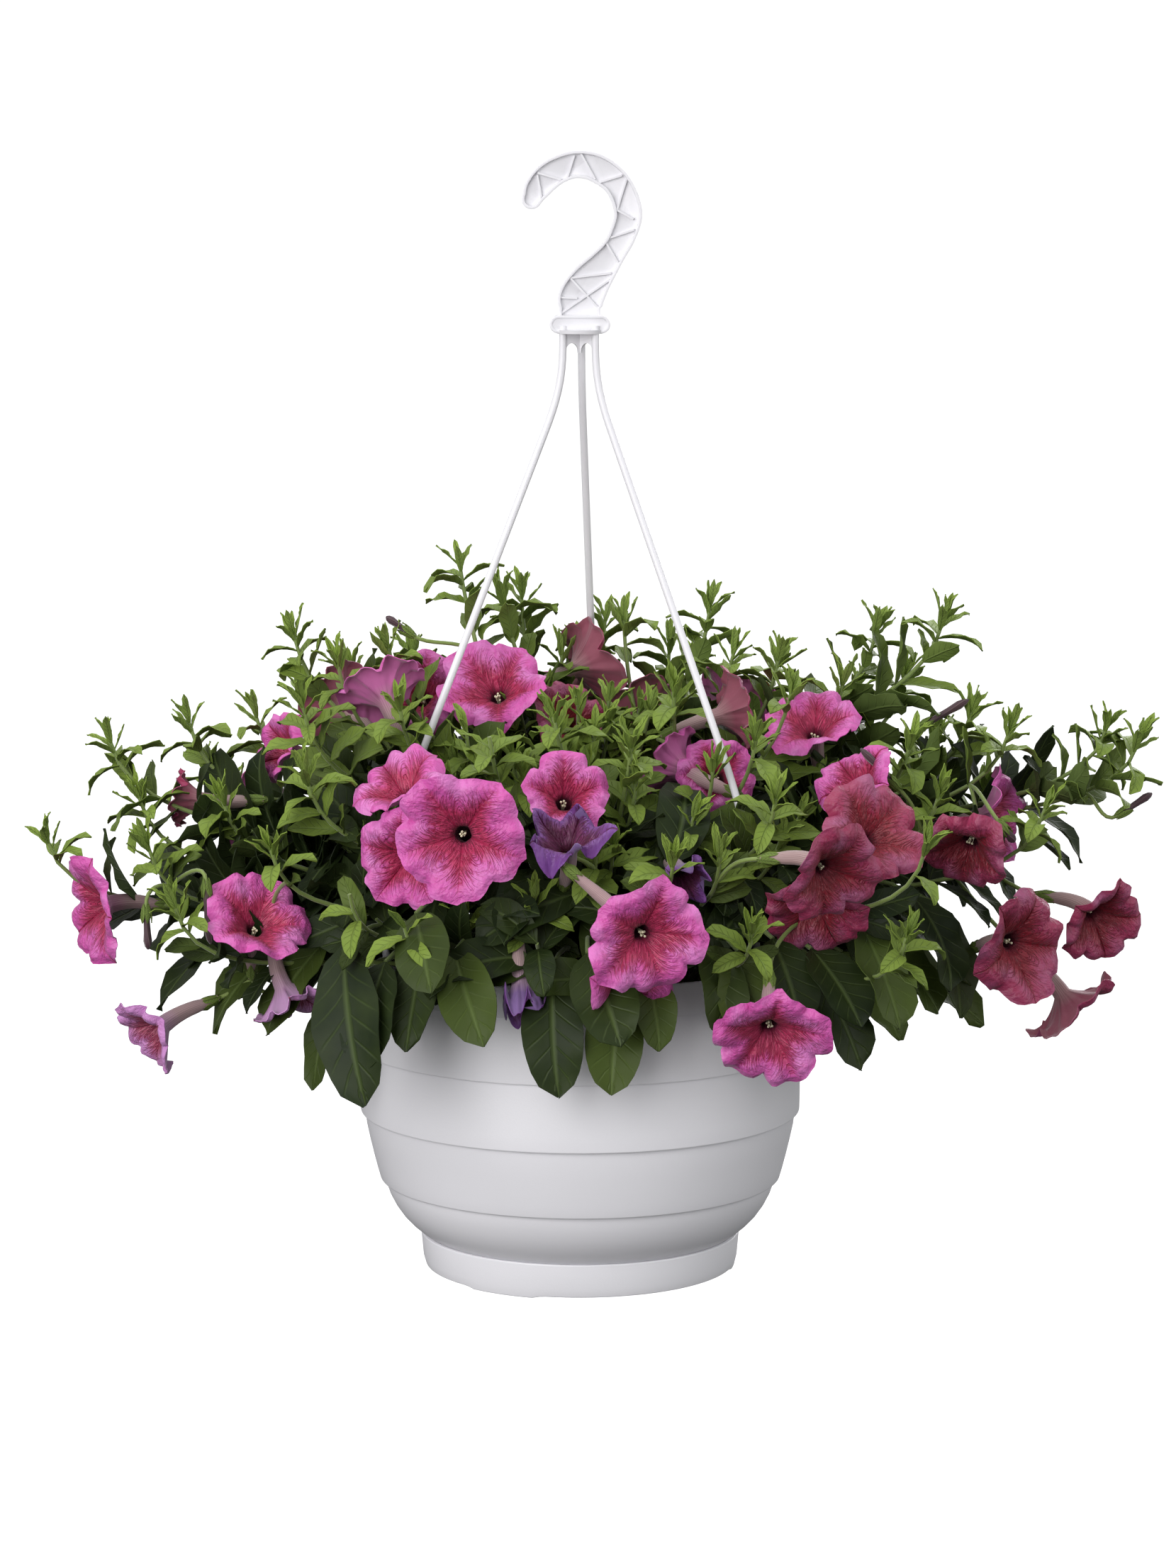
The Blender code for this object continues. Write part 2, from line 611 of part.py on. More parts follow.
# name, middle of the limb (right, back, height), azimuth and elevation it faces, width across,
# azimuth and elevation of its tube, finish
FLOWERS = (
    ("flower_front_left", (-61, -165, 260), (-8, 0), 66, (-8, 30), PINK),
    ("flower_front_left_behind", (-96, -124, 246), (-20, -5), 56, (-30, 25), PINK),
    ("flower_left_shoulder", (-97, -100, 284), (-30, 35), 56, (-20, 45), PINK),
    ("flower_top_left", (-46, 0, 320), (-9, 42), 60, (-9, 60), PINK),
    ("flower_behind_left_arm", (-90, 26, 314), (-20, 35), 52, (-20, 60), PINK),
    ("flower_back_view_left", (-108, -14, 321), (-150, 45), 50, (-40, 60), PINK),
    ("flower_top_middle", (8, 62, 324), (120, 12), 54, (110, 25), RED_PINK),
    ("flower_top_behind", (-4, 8, 300), (30, 25), 48, (20, 55), RED_PINK),
    ("flower_front_middle", (35, -187, 211), (15, -8), 64, (-20, -30), PINK),
    ("flower_front_under", (18, -146, 190), (25, -50), 54, (20, -35), PINK),
    ("flower_front_low", (97, -172, 156), (3, -30), 62, (-5, -50), PINK),
    ("flower_left_open", (-167, -95, 209), (20, 22), 58, (10, 45), PINK),
    ("flower_far_left", (-262, -50, 204), (-80, -13), 60, (-70, 10), PINK),
    ("flower_low_left", (-230, -75, 139), (-55, -30), 48, (-60, -15), LILAC),
    ("flower_left_side", (-217, -10, 258), (-110, 0), 44, (-100, 5), RED_PINK),
    ("flower_under_left", (-150, -90, 158), (60, -60), 44, (20, -75), LILAC),
    ("flower_middle", (-7, -118, 275), (5, 20), 54, (5, 60), PINK),
    ("flower_behind_right_arm", (87, 4, 304), (110, 10), 50, (100, 20), RED_PINK),
    ("flower_right_top", (125, -14, 306), (-10, 35), 60, (-20, 60), PINK),
    ("flower_right_turned", (46, -20, 280), (-125, 20), 46, (-110, 20), PINK),
    ("flower_right_folded", (143, -66, 277), (-40, 40), 48, (-30, 60), PINK),
    ("flower_cluster_upper", (153, -117, 258), (10, 20), 60, (20, 45), RED_PINK),
    ("flower_cluster_front", (130, -162, 240), (20, -20), 60, (45, 0), RED_PINK),
    ("flower_cluster_lower", (120, -124, 212), (-10, -35), 56, (-20, 0), RED_PINK),
    ("flower_right_back_view", (232, -18, 254), (105, 15), 58, (95, 25), PINK),
    ("flower_right_dark", (200, -88, 238), (-15, -20), 58, (0, 10), RED_PINK),
    ("flower_right_front", (235, -77, 190), (38, 0), 64, (30, 20), RED_PINK),
    ("flower_far_right", (280, -42, 194), (50, -20), 50, (70, 0), RED_PINK),
    ("flower_low_right", (267, -30, 144), (75, -55), 56, (70, -40), RED_PINK),
    ("flower_back_left_top", (-133, 36, 304), (-150, 10), 50, (-140, 25), RED_PINK),
    ("flower_left_top", (-166, 4, 288), (-35, 20), 46, (-30, 45), PINK),
    ("flower_rear_left", (-190, 150, 226), (-130, 5), 60, (-130, 25), PINK),
    ("flower_rear_low_left", (-92, 214, 222), (-155, -10), 62, (-150, 10), PINK),
    ("flower_rear_top", (-8, 178, 288), (178, 30), 60, (170, 50), PINK),
    ("flower_rear_low", (30, 226, 188), (170, -25), 58, (175, -5), RED_PINK),
    ("flower_rear_right_low", (118, 200, 232), (150, 0), 62, (150, 25), PINK),
    ("flower_rear_right", (196, 138, 222), (120, -5), 58, (125, 15), RED_PINK),
    ("flower_rear_shoulder", (92, 128, 296), (150, 35), 56, (140, 50), PINK),
    ("flower_wilted_middle", (-9, -150, 246), (-10, 30), 36, (0, 20), PURPLE),
    ("flower_wilted_low", (-29, -142, 168), (10, -65), 30, (10, -60), PURPLE),
)


def flower_axis(place, face, tube):
    """Points from the calyx to the limb: the tube leaves the calyx one way and faces another."""
    limb = at(*place)
    out = facing(*face)
    throat = limb - out * THROAT_DEPTH * MM
    start = facing(*tube)
    seat = throat - (out + start).normalized() * TUBE_LENGTH * 0.5 * MM \
        - start * TUBE_LENGTH * 0.5 * MM
    knee = throat - (out * 0.7 + start * 0.3).normalized() * TUBE_LENGTH * 0.45 * MM
    return seat, knee, throat, limb, start, out


def flower_solid(place, face, across, tube, swell=0.0):
    """Trumpet with a five-lobed edge; its throat is open as far as the knee of the tube."""
    seat, knee, throat, limb, start, out = flower_axis(place, face, tube)
    middle = start.lerp(out, 0.5).normalized()
    points = [seat, knee, throat, limb, throat + out * 2.5 * MM]
    radii = [1.8, 3.2, 7.0, across / 2, 5.0]
    ways = [start, middle, out, out, out]
    turns = [start.to_track_quat("Z", "Y")]
    for before, after in zip(ways, ways[1:]):
        turns.append(before.rotation_difference(after) @ turns[-1])
    return sweep(points, [(radius + swell) * MM for radius in radii], FLOWER_SIDES, turns=turns)


def make_flowers(parent, around):
    for name, place, face, across, tube, finish in FLOWERS:
        seat = flower_axis(place, face, tube)[0]
        bm = flower_solid(place, face, across, tube)
        around.add(name, tree_of(bm))
        bmesh.ops.translate(bm, vec=-seat, verts=bm.verts)
        flower = add_object(name, bm, material(*finish), parent)
        flower.location = seat


# =============================================================================================
# shoots
# =============================================================================================
# name: where it leaves the soil (right, back), then its tips (right, back, height)
SHOOTS = (
    ("shoot_far_left", (-84, -14), ((-287, -40, 240), (-252, -20, 291), (-213, 18, 296),
                                    (-227, -72, 241))),
    ("shoot_left_high", (-72, 12), ((-156, 22, 344), (-146, -60, 315))),
    ("shoot_left_front", (-66, -46), ((-143, -92, 283),)),
    ("shoot_top_left", (-44, 6), ((-66, 32, 384), (-95, -62, 315))),
    ("shoot_top_middle", (-16, 32), ((-43, 42, 363), (-33, 90, 360), (14, 112, 343))),
    ("shoot_top_right", (34, 22), ((24, 62, 348), (72, 72, 354), (84, 36, 332))),
    ("shoot_middle_right", (52, -12), ((108, 22, 331), (50, -22, 318), (93, -62, 298))),
    ("shoot_right_high", (76, 20), ((164, 52, 345), (198, 22, 353))),
    ("shoot_right", (86, -18), ((212, 4, 304), (230, -24, 297), (249, -62, 257))),
    ("shoot_far_right", (78, 52), ((288, -6, 287), (307, -12, 281))),
    ("shoot_front_right", (58, -50), ((167, -182, 248), (101, -115, 273))),
    ("shoot_front", (10, -64), ((27, -92, 298), (-14, -70, 310))),
    ("shoot_front_left", (-30, -66), ((-47, -90, 302), (-60, -118, 214))),
    ("shoot_rear_left", (-60, 56), ((-240, 110, 282), (-170, 158, 310), (-206, 176, 248),
                                    (-100, 196, 322), (-112, 244, 262))),
    ("shoot_rear_right", (40, 70), ((64, 204, 316), (22, 254, 262), (176, 160, 306),
                                    (236, 120, 272), (196, 196, 244))),
)

# big leaves that hang over the rim: shoot, foot of the blade, its tip, width
RIM_LEAVES = (
    ("shoot_left_front", (-122, -118, 192), (-96, -150, 124), 36),
    ("shoot_front_left", (-82, -124, 190), (-77, -142, 146), 24),
    ("shoot_front_left", (-60, -132, 192), (-57, -156, 150), 22),
    ("shoot_front_right", (72, -124, 188), (76, -134, 150), 26),
    ("shoot_front_right", (106, -108, 188), (138, -132, 152), 30),
    ("shoot_middle_right", (120, -84, 186), (150, -94, 134), 32),
    ("shoot_right", (140, -44, 186), (206, -32, 132), 32),
    ("shoot_right", (146, -62, 190), (182, -76, 150), 30),
    ("shoot_far_left", (-136, -36, 188), (-192, -58, 140), 26),
    ("shoot_far_left", (-150, -12, 196), (-222, -30, 152), 26),
    ("shoot_rear_left", (-130, 60, 190), (-170, 84, 134), 32),
    ("shoot_rear_left", (-98, 110, 190), (-122, 142, 128), 32),
    ("shoot_rear_left", (-44, 138, 190), (-50, 162, 124), 30),
    ("shoot_rear_right", (14, 140, 190), (18, 160, 122), 30),
    ("shoot_rear_right", (76, 124, 190), (92, 150, 128), 32),
    ("shoot_rear_right", (124, 80, 190), (156, 104, 132), 32),
    ("shoot_far_right", (142, 34, 190), (190, 44, 136), 30),
)

# flower: the shoot that carries it
CARRIED_BY = {
    "flower_front_left": "shoot_front_left", "flower_front_left_behind": "shoot_front_left",
    "flower_left_shoulder": "shoot_left_front", "flower_top_left": "shoot_top_left",
    "flower_behind_left_arm": "shoot_top_left", "flower_back_view_left": "shoot_top_left",
    "flower_top_middle": "shoot_top_middle", "flower_top_behind": "shoot_top_middle",
    "flower_front_middle": "shoot_front", "flower_front_under": "shoot_front",
    "flower_front_low": "shoot_front_right", "flower_left_open": "shoot_left_front",
    "flower_far_left": "shoot_far_left", "flower_low_left": "shoot_left_front",
    "flower_left_side": "shoot_far_left", "flower_under_left": "shoot_left_front",
    "flower_middle": "shoot_front", "flower_behind_right_arm": "shoot_middle_right",
    "flower_right_top": "shoot_middle_right", "flower_right_turned": "shoot_middle_right",
    "flower_right_folded": "shoot_right", "flower_cluster_upper": "shoot_front_right",
    "flower_cluster_front": "shoot_front_right", "flower_cluster_lower": "shoot_front_right",
    "flower_right_back_view": "shoot_right", "flower_right_dark": "shoot_right",
    "flower_right_front": "shoot_right", "flower_far_right": "shoot_far_right",
    "flower_low_right": "shoot_far_right", "flower_back_left_top": "shoot_left_high",
    "flower_left_top": "shoot_left_high", "flower_rear_left": "shoot_rear_left",
    "flower_rear_low_left": "shoot_rear_left", "flower_rear_top": "shoot_top_middle",
    "flower_rear_low": "shoot_rear_right", "flower_rear_right_low": "shoot_rear_right",
    "flower_rear_right": "shoot_rear_right", "flower_rear_shoulder": "shoot_rear_right",
    "flower_wilted_middle": "shoot_front", "flower_wilted_low": "shoot_front_left",
}


def stem_solid(points, swell=0.0, foot=STEM_RADIUS, tip=STEM_TIP):
    count = len(points) - 1
    radii = [(foot + (tip - foot) * index / count + swell) * MM for index in range(count + 1)]
    return sweep(points, radii, STEM_SIDES)


def leaf_solid(foot, along, face, length, width, droop, swell=0.0):
    """A folded blade from its foot to its tip, widest near the middle, thickest on the midrib."""
    side = along.cross(face).normalized()
    up = side.cross(along).normalized()

    def spine(share):
        return foot + (along * length * share - up * length * droop * share * share) * MM

    half_thick = (LEAF_THICKNESS / 2 + swell) * MM
    bm = bmesh.new()
    base = bm.verts.new(spine(0.0))
    end = bm.verts.new(spine(1.0) + along * swell * MM)
    middle = spine(0.52)
    across = side * (width * 0.48 + swell) * MM
    belt = [bm.verts.new(middle - across + up * width * 0.07 * MM),
            bm.verts.new(middle + up * half_thick),
            bm.verts.new(middle + across + up * width * 0.07 * MM),
            bm.verts.new(middle - up * half_thick)]
    for index in range(4):
        after = (index + 1) % 4
        bm.faces.new((base, belt[index], belt[after]))
        bm.faces.new((belt[index], end, belt[after]))
    bmesh.ops.recalc_face_normals(bm, faces=bm.faces)
    return bm


def stem_ways(start, end, upward):
    """Curves from the soil to a tip, from the plainest to the more bent ones."""
    run = end - start
    flat = Vector((run.x, run.y, 0.0))
    aside = Vector((-flat.y, flat.x, 0.0)).normalized() * max(flat.length, 100.0 * MM)
    rise = max(run.z, 45.0 * MM)
    for late in (0.0, 0.15, -0.15, 0.3, -0.3):
        for bend in (0.0, 0.12, -0.12, 0.24, -0.24, 0.36, -0.36, 0.5, -0.5):
            for high in (0.8, 1.1, 0.5, 1.4, 1.8):
                lift = start + flat * 0.12 + Vector((0, 0, rise * high)) + aside * bend
                yield lift, end - upward * min(run.length * 0.3, 50.0 * MM) + aside * late


def grow_stem(around, own, start, end, upward, count, tufted=False):
    """The first of the possible curves that keeps clear of every other piece."""
    blockers = []
    for lift, reach in stem_ways(start, end, upward):
        points = bezier(start, lift, reach, end, count)
        tested = list(points)
        tested[0] = tested[0].lerp(tested[1], 0.2)
        tested[-1] = tested[-1].lerp(tested[-2], 0.12)
        probe = stem_solid(tested, swell=CLEARANCE)
        tree = tree_of(probe)
        probe.free()
        blocker = around.blocked_by(tree, ignore=(own,))
        if not blocker and tufted:
            probe = tuft_solid(points, upward, CLEARANCE)
            tree = tree_of(probe)
            probe.free()
            blocker = around.blocked_by(tree, ignore=(own,))
        if not blocker:
            return points
        blockers.append(blocker)
    LEFT_OUT.append(f"{own}: no clear way to {end * 1000}: {sorted(set(blockers))}")
    return None


def crown_bud(start, number):
    """Where one more stem leaves the crown: each a little round from the one before."""
    turn = GOLDEN_ANGLE * number
    return start + Vector((math.cos(turn), math.sin(turn), 0.3)) * 1.4 * MM


def nearest_on(branches, point, low, high):
    """Points of a shoot's stems sorted by how near they lie to a place."""
    found = []
    for points in branches:
        last = len(points) - 1
        for index in range(int(last * low), int(last * high) + 1):
            found.append(((points[index] - point).length, points[index]))
    found.sort(key=lambda pair: pair[0])
    return [pair[1] for pair in found]


def make_shoot(name, root, tips, parent, around):
    crown = at(root[0], root[1], SOIL_TOP + GAP)
    knob = bmesh.new()
    bmesh.ops.create_cone(knob, cap_ends=True, segments=8, radius1=CROWN_FOOT * MM,
                          radius2=CROWN_TOP * MM, depth=CROWN_HEIGHT * MM)
    start = crown + Vector((0, 0, CROWN_HEIGHT / 2 * MM))
    bmesh.ops.translate(knob, vec=start, verts=knob.verts)
    around.add(name, tree_of(knob))
    pieces, branches, leafy = [], [], []

    for tip in tips:
        end = at(*tip)
        outward = Vector((end.x - start.x, end.y - start.y, 0.0)).normalized()
        upward = (outward * 0.45 + Vector((0, 0, 1))).normalized()
        points = grow_stem(around, name, crown_bud(start, len(pieces)),
                           end - upward * TUFT * MM, upward, 6, tufted=True)
        if points is None:
            continue
        pieces.append(stem_solid(points))
        branches.append(points)
        leafy.append(points)
        around.add(name, tree_of(pieces[-1]))
        pieces.append(tuft_solid(points, upward))
        around.add(name, tree_of(pieces[-1]))

    for shoot, foot, tip, width in RIM_LEAVES:
        if shoot != name:
            continue
        base, end = at(*foot), at(*tip)
        outward = Vector((base.x, base.y, 0.0)).normalized()
        points = grow_stem(around, name, crown_bud(start, len(pieces)), base,
                           (outward - Vector((0, 0, 0.5))).normalized(), 4)
        if points is None:
            continue
        inside = points[-2].lerp(points[-1], 0.5)
        face = (outward + Vector((0, 0, 0.4))).normalized()
        length = (end - inside).length / MM
        probe = leaf_solid(inside, (end - inside).normalized(), face, length, width, 0.0,
                           CLEARANCE)
        tree = tree_of(probe)
        probe.free()
        blocker = around.blocked_by(tree, ignore=(name,))
        if blocker:
            LEFT_OUT.append(f"{name}: rim blade {foot} touches {blocker}")
            continue
        pieces.append(stem_solid(points, tip=RIM_STALK_TIP))
        around.add(name, tree_of(pieces[-1]))
        pieces.append(leaf_solid(inside, (end - inside).normalized(), face, length, width, 0.0))
        around.add(name, tree_of(pieces[-1]))

    for flower, place, face, _, tube, _ in FLOWERS:
        if CARRIED_BY[flower] != name:
            continue
        seat, way = flower_axis(place, face, tube)[0], facing(*tube)
        end = seat - way * GAP * MM
        made = False
        joins = nearest_on(branches, seat - way * 0.03, *STALK_REACH)[:STALK_TRIES]
        for join in joins + [start]:
            collar_foot = end - way * 3.0 * MM
            lift = join.lerp(end, 0.3) + Vector((0, 0, 6 * MM))
            reach = collar_foot - way * min((end - join).length * 0.35, 0.02)
            points = bezier(join, lift, reach, collar_foot, 3) + [end]
            probe = stem_solid(points[:-1], swell=CLEARANCE, foot=FLOWER_STALK[0],
                               tip=FLOWER_STALK[0])
            stalk = stem_solid(points, foot=FLOWER_STALK[0], tip=FLOWER_STALK[1])
            trees = tree_of(probe), tree_of(stalk)
            probe.free()
            if around.clear(trees[0], ignore=(name,)) and around.clear(trees[1], ignore=(name,)):
                pieces.append(stalk)
                around.add(name, trees[1])
                made = True
                break
            stalk.free()
        if not made:
            LEFT_OUT.append(f"{name} stalk of {flower}")

    turn = 0.0
    for points in leafy:
        last = len(points) - 1
        for index in range(2, last, 2):
            turn += GOLDEN_ANGLE
            share = index / last
            along = (points[index + 1] - points[index - 1]).normalized()
            length = LOWEST_LEAF + (HIGHEST_LEAF - LOWEST_LEAF) * share
            for extra in (0.0, 1.2, 2.4, 3.6, 4.8):
                aside = along.orthogonal().normalized()
                aside.rotate(Quaternion(along, turn + extra))
                way = (along * 0.45 + aside).normalized()
                leaf = (points[index], way, along, length, length * LEAF_WIDTH, LEAF_DROOP)
                probe = leaf_solid(*leaf, swell=CLEARANCE)
                tree = tree_of(probe)
                probe.free()
                if around.clear(tree, ignore=(name,)):
                    pieces.append(leaf_solid(*leaf))
                    around.add(name, tree_of(pieces[-1]))
                    break
    return joined(name, knob, pieces, leaf_green(), parent)


def tuft_solid(stem, upward, swell=0.0):
    """The closed bunch of young leaves at a shoot's tip."""
    foot = stem[-1].lerp(stem[-2], 0.05)
    points = [foot, foot + upward * TUFT * 0.4 * MM, stem[-1] + upward * (TUFT + swell) * MM]
    return sweep(points, [(radius + swell) * MM for radius in (1.0, 5.5, 0.8)], STEM_SIDES)


# =============================================================================================
def main():
    clear_scene()
    basket = bpy.data.objects.new("hanging pot", None)
    plant = bpy.data.objects.new("petunia", None)
    for empty in (basket, plant):
        bpy.context.scene.collection.objects.link(empty)

    around = Surroundings()
    for thing in (make_pot(basket), make_saucer(basket), make_soil(basket), make_hanger(basket)):
        solid = evaluated(thing)
        around.add(thing.name, tree_of(solid))
        solid.free()
    make_flowers(plant, around)
    for name, root, tips in SHOOTS:
        make_shoot(name, root, tips, plant, around)
    for line in LEFT_OUT:
        print("left out:", line)


main()
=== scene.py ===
"""Looks of a petunia hanging basket: the moulded pot, saucer and hanger, the potting mix, and the
petunia with its veined trumpets, leafy shoots, buds and stalks, all built round the fixed frame.

Sizes in the tables are millimetres; heights are measured up from the saucer's underside.
"""

import math
import random

import bmesh
import bpy
from bpy.props import FloatProperty, FloatVectorProperty, IntProperty, PointerProperty
from mathutils import Matrix, Vector, noise
from mathutils.kdtree import KDTree


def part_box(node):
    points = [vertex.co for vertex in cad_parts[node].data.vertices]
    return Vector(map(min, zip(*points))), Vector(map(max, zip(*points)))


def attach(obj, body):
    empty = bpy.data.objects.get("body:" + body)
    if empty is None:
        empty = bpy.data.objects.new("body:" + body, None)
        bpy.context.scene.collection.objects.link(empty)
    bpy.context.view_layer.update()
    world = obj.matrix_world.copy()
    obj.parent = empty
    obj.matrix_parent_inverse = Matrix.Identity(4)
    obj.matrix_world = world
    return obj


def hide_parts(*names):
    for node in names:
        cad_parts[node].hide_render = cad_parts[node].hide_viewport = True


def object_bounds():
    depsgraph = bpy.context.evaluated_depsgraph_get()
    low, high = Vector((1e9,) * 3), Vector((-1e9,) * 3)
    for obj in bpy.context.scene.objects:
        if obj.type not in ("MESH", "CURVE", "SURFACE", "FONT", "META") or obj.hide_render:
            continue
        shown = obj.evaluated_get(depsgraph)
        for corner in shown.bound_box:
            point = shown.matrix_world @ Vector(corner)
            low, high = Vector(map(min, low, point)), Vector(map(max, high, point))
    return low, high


bl_info = {
    "name": "Petunia Hanging Basket",
    "version": (1, 0, 0),
    "blender": (4, 5, 0),
    "location": "3D Viewport > Sidebar > Basket",
    "description": "Models a hanging pot with its hanger and a petunia in full flower",
    "category": "Add Mesh",
}

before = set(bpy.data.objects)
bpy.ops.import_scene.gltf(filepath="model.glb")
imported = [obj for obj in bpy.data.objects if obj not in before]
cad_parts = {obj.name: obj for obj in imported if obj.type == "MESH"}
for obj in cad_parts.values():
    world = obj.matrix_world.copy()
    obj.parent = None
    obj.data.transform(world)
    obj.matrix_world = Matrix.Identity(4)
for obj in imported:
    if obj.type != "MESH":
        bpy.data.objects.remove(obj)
CAD_BOX = [list(corner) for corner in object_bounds()]

MM = 0.001
BODY = "root"
GOLDEN_ANGLE = math.radians(137.5)
WELD = 0.000004
SAUCER_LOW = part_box("saucer")[0]
RIM_TOP = (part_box("pot")[1].z - SAUCER_LOW.z) / MM
RIM_RADIUS = 125.0
UP = Vector((0, 0, 1))


def at(right, back, height):
    """A point from millimetres right, back and up from the saucer's underside."""
    return Vector((right * MM, back * MM, SAUCER_LOW.z + height * MM))


def facing(azimuth, elevation):
    """A direction: azimuth 0 faces the front, 90 the right; elevation is up."""
    a, e = math.radians(azimuth), math.radians(elevation)
    return Vector((math.sin(a) * math.cos(e), -math.cos(a) * math.cos(e), math.sin(e)))


def smooth(value, low, high):
    """0 below low, 1 above high, eased between."""
    share = min(max((value - low) / (high - low), 0.0), 1.0)
    return share * share * (3 - 2 * share)


def ring(angle, radius=1.0):
    """A level point at an angle on a circle about the origin."""
    return Vector((math.cos(angle), math.sin(angle), 0.0)) * radius


def arc(first, last, steps, radius=1.0):
    """Level points round a circle about the origin from one angle in degrees to another."""
    return [ring(math.radians(first + (last - first) * step / steps), radius)
            for step in range(steps + 1)]


def round_at(turn, radius, height):
    """A point from a turn about the axis, and millimetres out and up from the saucer."""
    return at(radius * math.cos(turn), radius * math.sin(turn), height)


# ---- sizes and colours that a user would change ----
def colour(name, description, default):
    return FloatVectorProperty(name=name, description=description, default=default,
                               subtype="COLOR", size=3, min=0.0, max=1.0)


def length(name, description, default):
    return FloatProperty(name=name, description=description, default=default * MM,
                         unit="LENGTH", min=0.0)


def power(name, description, default):
    return FloatProperty(name=name, description=description, default=default, unit="POWER")


class PotSettings(bpy.types.PropertyGroup):
    facets: IntProperty(name="Facets", description="Steps round the pot", default=144, min=24)
    plastic: colour("Plastic", "Colour of the moulded plastic", (0.79, 0.785, 0.815))


class HangerSettings(bpy.types.PropertyGroup):
    arm_radius: length("Arm radius", "Radius of the three arms", 2.0)
    hook_depth: length("Hook depth", "Thickness of the hook from front to back", 6.6)
    flange: length("Flange", "Width of the raised edge round the hook", 1.5)


class FlowerSettings(bpy.types.PropertyGroup):
    thickness: length("Petal thickness", "Thickness of the petals", 0.4)
    ruffle: FloatProperty(name="Ruffle", description="How wavy the petals' edges are",
                          default=1.0, min=0.0, max=2.0)
    pink: colour("Pink", "Colour of most of the petals", (0.57, 0.088, 0.36))
    # painted shade in part: the deeper red pink is the colour of the deeper flowers, and is also
    # given to pink flowers that sit in shade, such as right_front
    red: colour("Red pink", "Colour of the deeper flowers", (0.285, 0.028, 0.082))
    lilac: colour("Lilac", "Colour of the paler flowers", (0.52, 0.22, 0.50))
    violet: colour("Violet", "Colour of the wilted flowers", (0.17, 0.055, 0.26))


class LeafSettings(bpy.types.PropertyGroup):
    thickness: length("Leaf thickness", "Thickness of a leaf", 0.4)
    biggest: length("Biggest leaf", "Length of the lowest leaves of a shoot", 56.0)
    smallest: length("Smallest leaf", "Length of the upper leaves of a shoot", 25.0)
    young: colour("Young green", "Colour of the youngest leaves", (0.235, 0.335, 0.052))
    # the mature green also paints the shade on leaves low in the crown
    mature: colour("Mature green", "Colour of the oldest leaves", (0.010, 0.018, 0.005))


class StageSettings(bpy.types.PropertyGroup):
    drop: length("Drop", "Clear height under the saucer", 450.0)
    key: power("Key light", "Power of the large light, front left", 48.0)
    top: power("Top light", "Power of the light from above", 14.0)
    rear: power("Rear light", "Power of the light from behind", 24.0)
    side: power("Side light", "Power of the light on the right", 14.0)
    sky: FloatProperty(name="Sky", description="Soft light from above, all round", default=0.86)
    ground: FloatProperty(name="Ground", description="Soft light from below", default=0.08)


# ---- finishes ----
class Field:
    """A number that varies over a surface, worked out by nodes."""

    def __init__(self, socket):
        self.socket, self.tree = socket, socket.id_data

    def maths(self, operation, *others):
        return Field(put(self.tree, "Math", dict(enumerate((self, *others))),
                         operation=operation).outputs[0])

    def __add__(self, other):
        return self.maths("ADD", other)

    def __sub__(self, other):
        return self.maths("SUBTRACT", other)

    def __mul__(self, other):
        return self.maths("MULTIPLY", other)

    def __abs__(self):
        return self.maths("ABSOLUTE")

    def larger(self, other):
        return self.maths("MAXIMUM", other)

    def band(self, low, high, first=0.0, last=1.0):
        """First at low and last at high, clamped; low may be the larger."""
        return Field(put(self.tree, "MapRange", {
            "Value": self, "From Min": low, "From Max": high,
            "To Min": first, "To Max": last}).outputs[0])

    def stripe(self, width):
        """Thin lines at the whole numbers: 1 on the line, 0 beyond width of it."""
        return abs(self.maths("FRACT") - 0.5).band(0.5 - width, 0.5)


def feed(socket, value):
    """Links a socket to a field or another socket, or gives it a plain value or colour."""
    value = getattr(value, "socket", value)
    if isinstance(value, bpy.types.NodeSocket):
        socket.id_data.links.new(value, socket)
    else:
        socket.default_value = (*value, 1.0) if socket.type == "RGBA" else value


def put(tree, kind, inputs=(), **settings):
    """Adds a node, sets its settings and feeds its inputs."""
    node = tree.nodes.new("ShaderNode" + kind)
    for name, value in settings.items():
        setattr(node, name, value)
    for socket, value in dict(inputs).items():
        feed(node.inputs[socket], value)
    return node


def tinted(base, factor):
    """A colour made darker or paler."""
    return tuple(min(channel * factor, 1.0) for channel in base)


class Finish:
    """A Principled material being made: a skin colour laid on coat by coat, and its relief."""

    def __init__(self, name, roughness, skin, **sockets):
        self.made = bpy.data.materials.new(name)
        self.made.use_nodes = True
        self.tree = self.made.node_tree
        self.skin = skin
        self.feed(Roughness=roughness, **sockets)

    def feed(self, **sockets):
        surface = self.tree.nodes["Principled BSDF"]
        for name, value in sockets.items():
            feed(surface.inputs[name.replace("_", " ")], value)

    def stored(self, name):
        """A number kept at the mesh's corners."""
        return Field(put(self.tree, "Attribute", attribute_name=name,
                         attribute_type="GEOMETRY").outputs["Fac"])

    def map(self, name):
        return put(self.tree, "UVMap", uv_map=name).outputs[0]

    def across(self, place):
        """The two numbers of a place on a map."""
        parts = put(self.tree, "SeparateXYZ", {0: place}).outputs
        return Field(parts[0]), Field(parts[1])

    def speckle(self, scale, detail=2.0, where=None):
        """Soft noise on object coordinates, or on the given ones."""
        where = where or put(self.tree, "TexCoord").outputs["Object"]
        return Field(put(self.tree, "TexNoise", {
            "Vector": where, "Scale": scale, "Detail": detail}).outputs["Fac"])

    def lay(self, share, coat):
        """Covers a share of the skin with another colour."""
        node = put(self.tree, "Mix", data_type="RGBA")
        for index, value in ((0, share), (6, self.skin), (7, coat)):
            feed(node.inputs[index], value)
        self.skin = node.outputs[2]

    def done(self, height=None, distance=0.0):
        """Gives the surface its skin and, where there is one, its relief."""
        self.feed(Base_Color=self.skin)
        if height:
            bump = put(self.tree, "Bump", {"Height": height, "Distance": distance})
            self.feed(Normal=bump.outputs[0])
        return self.made


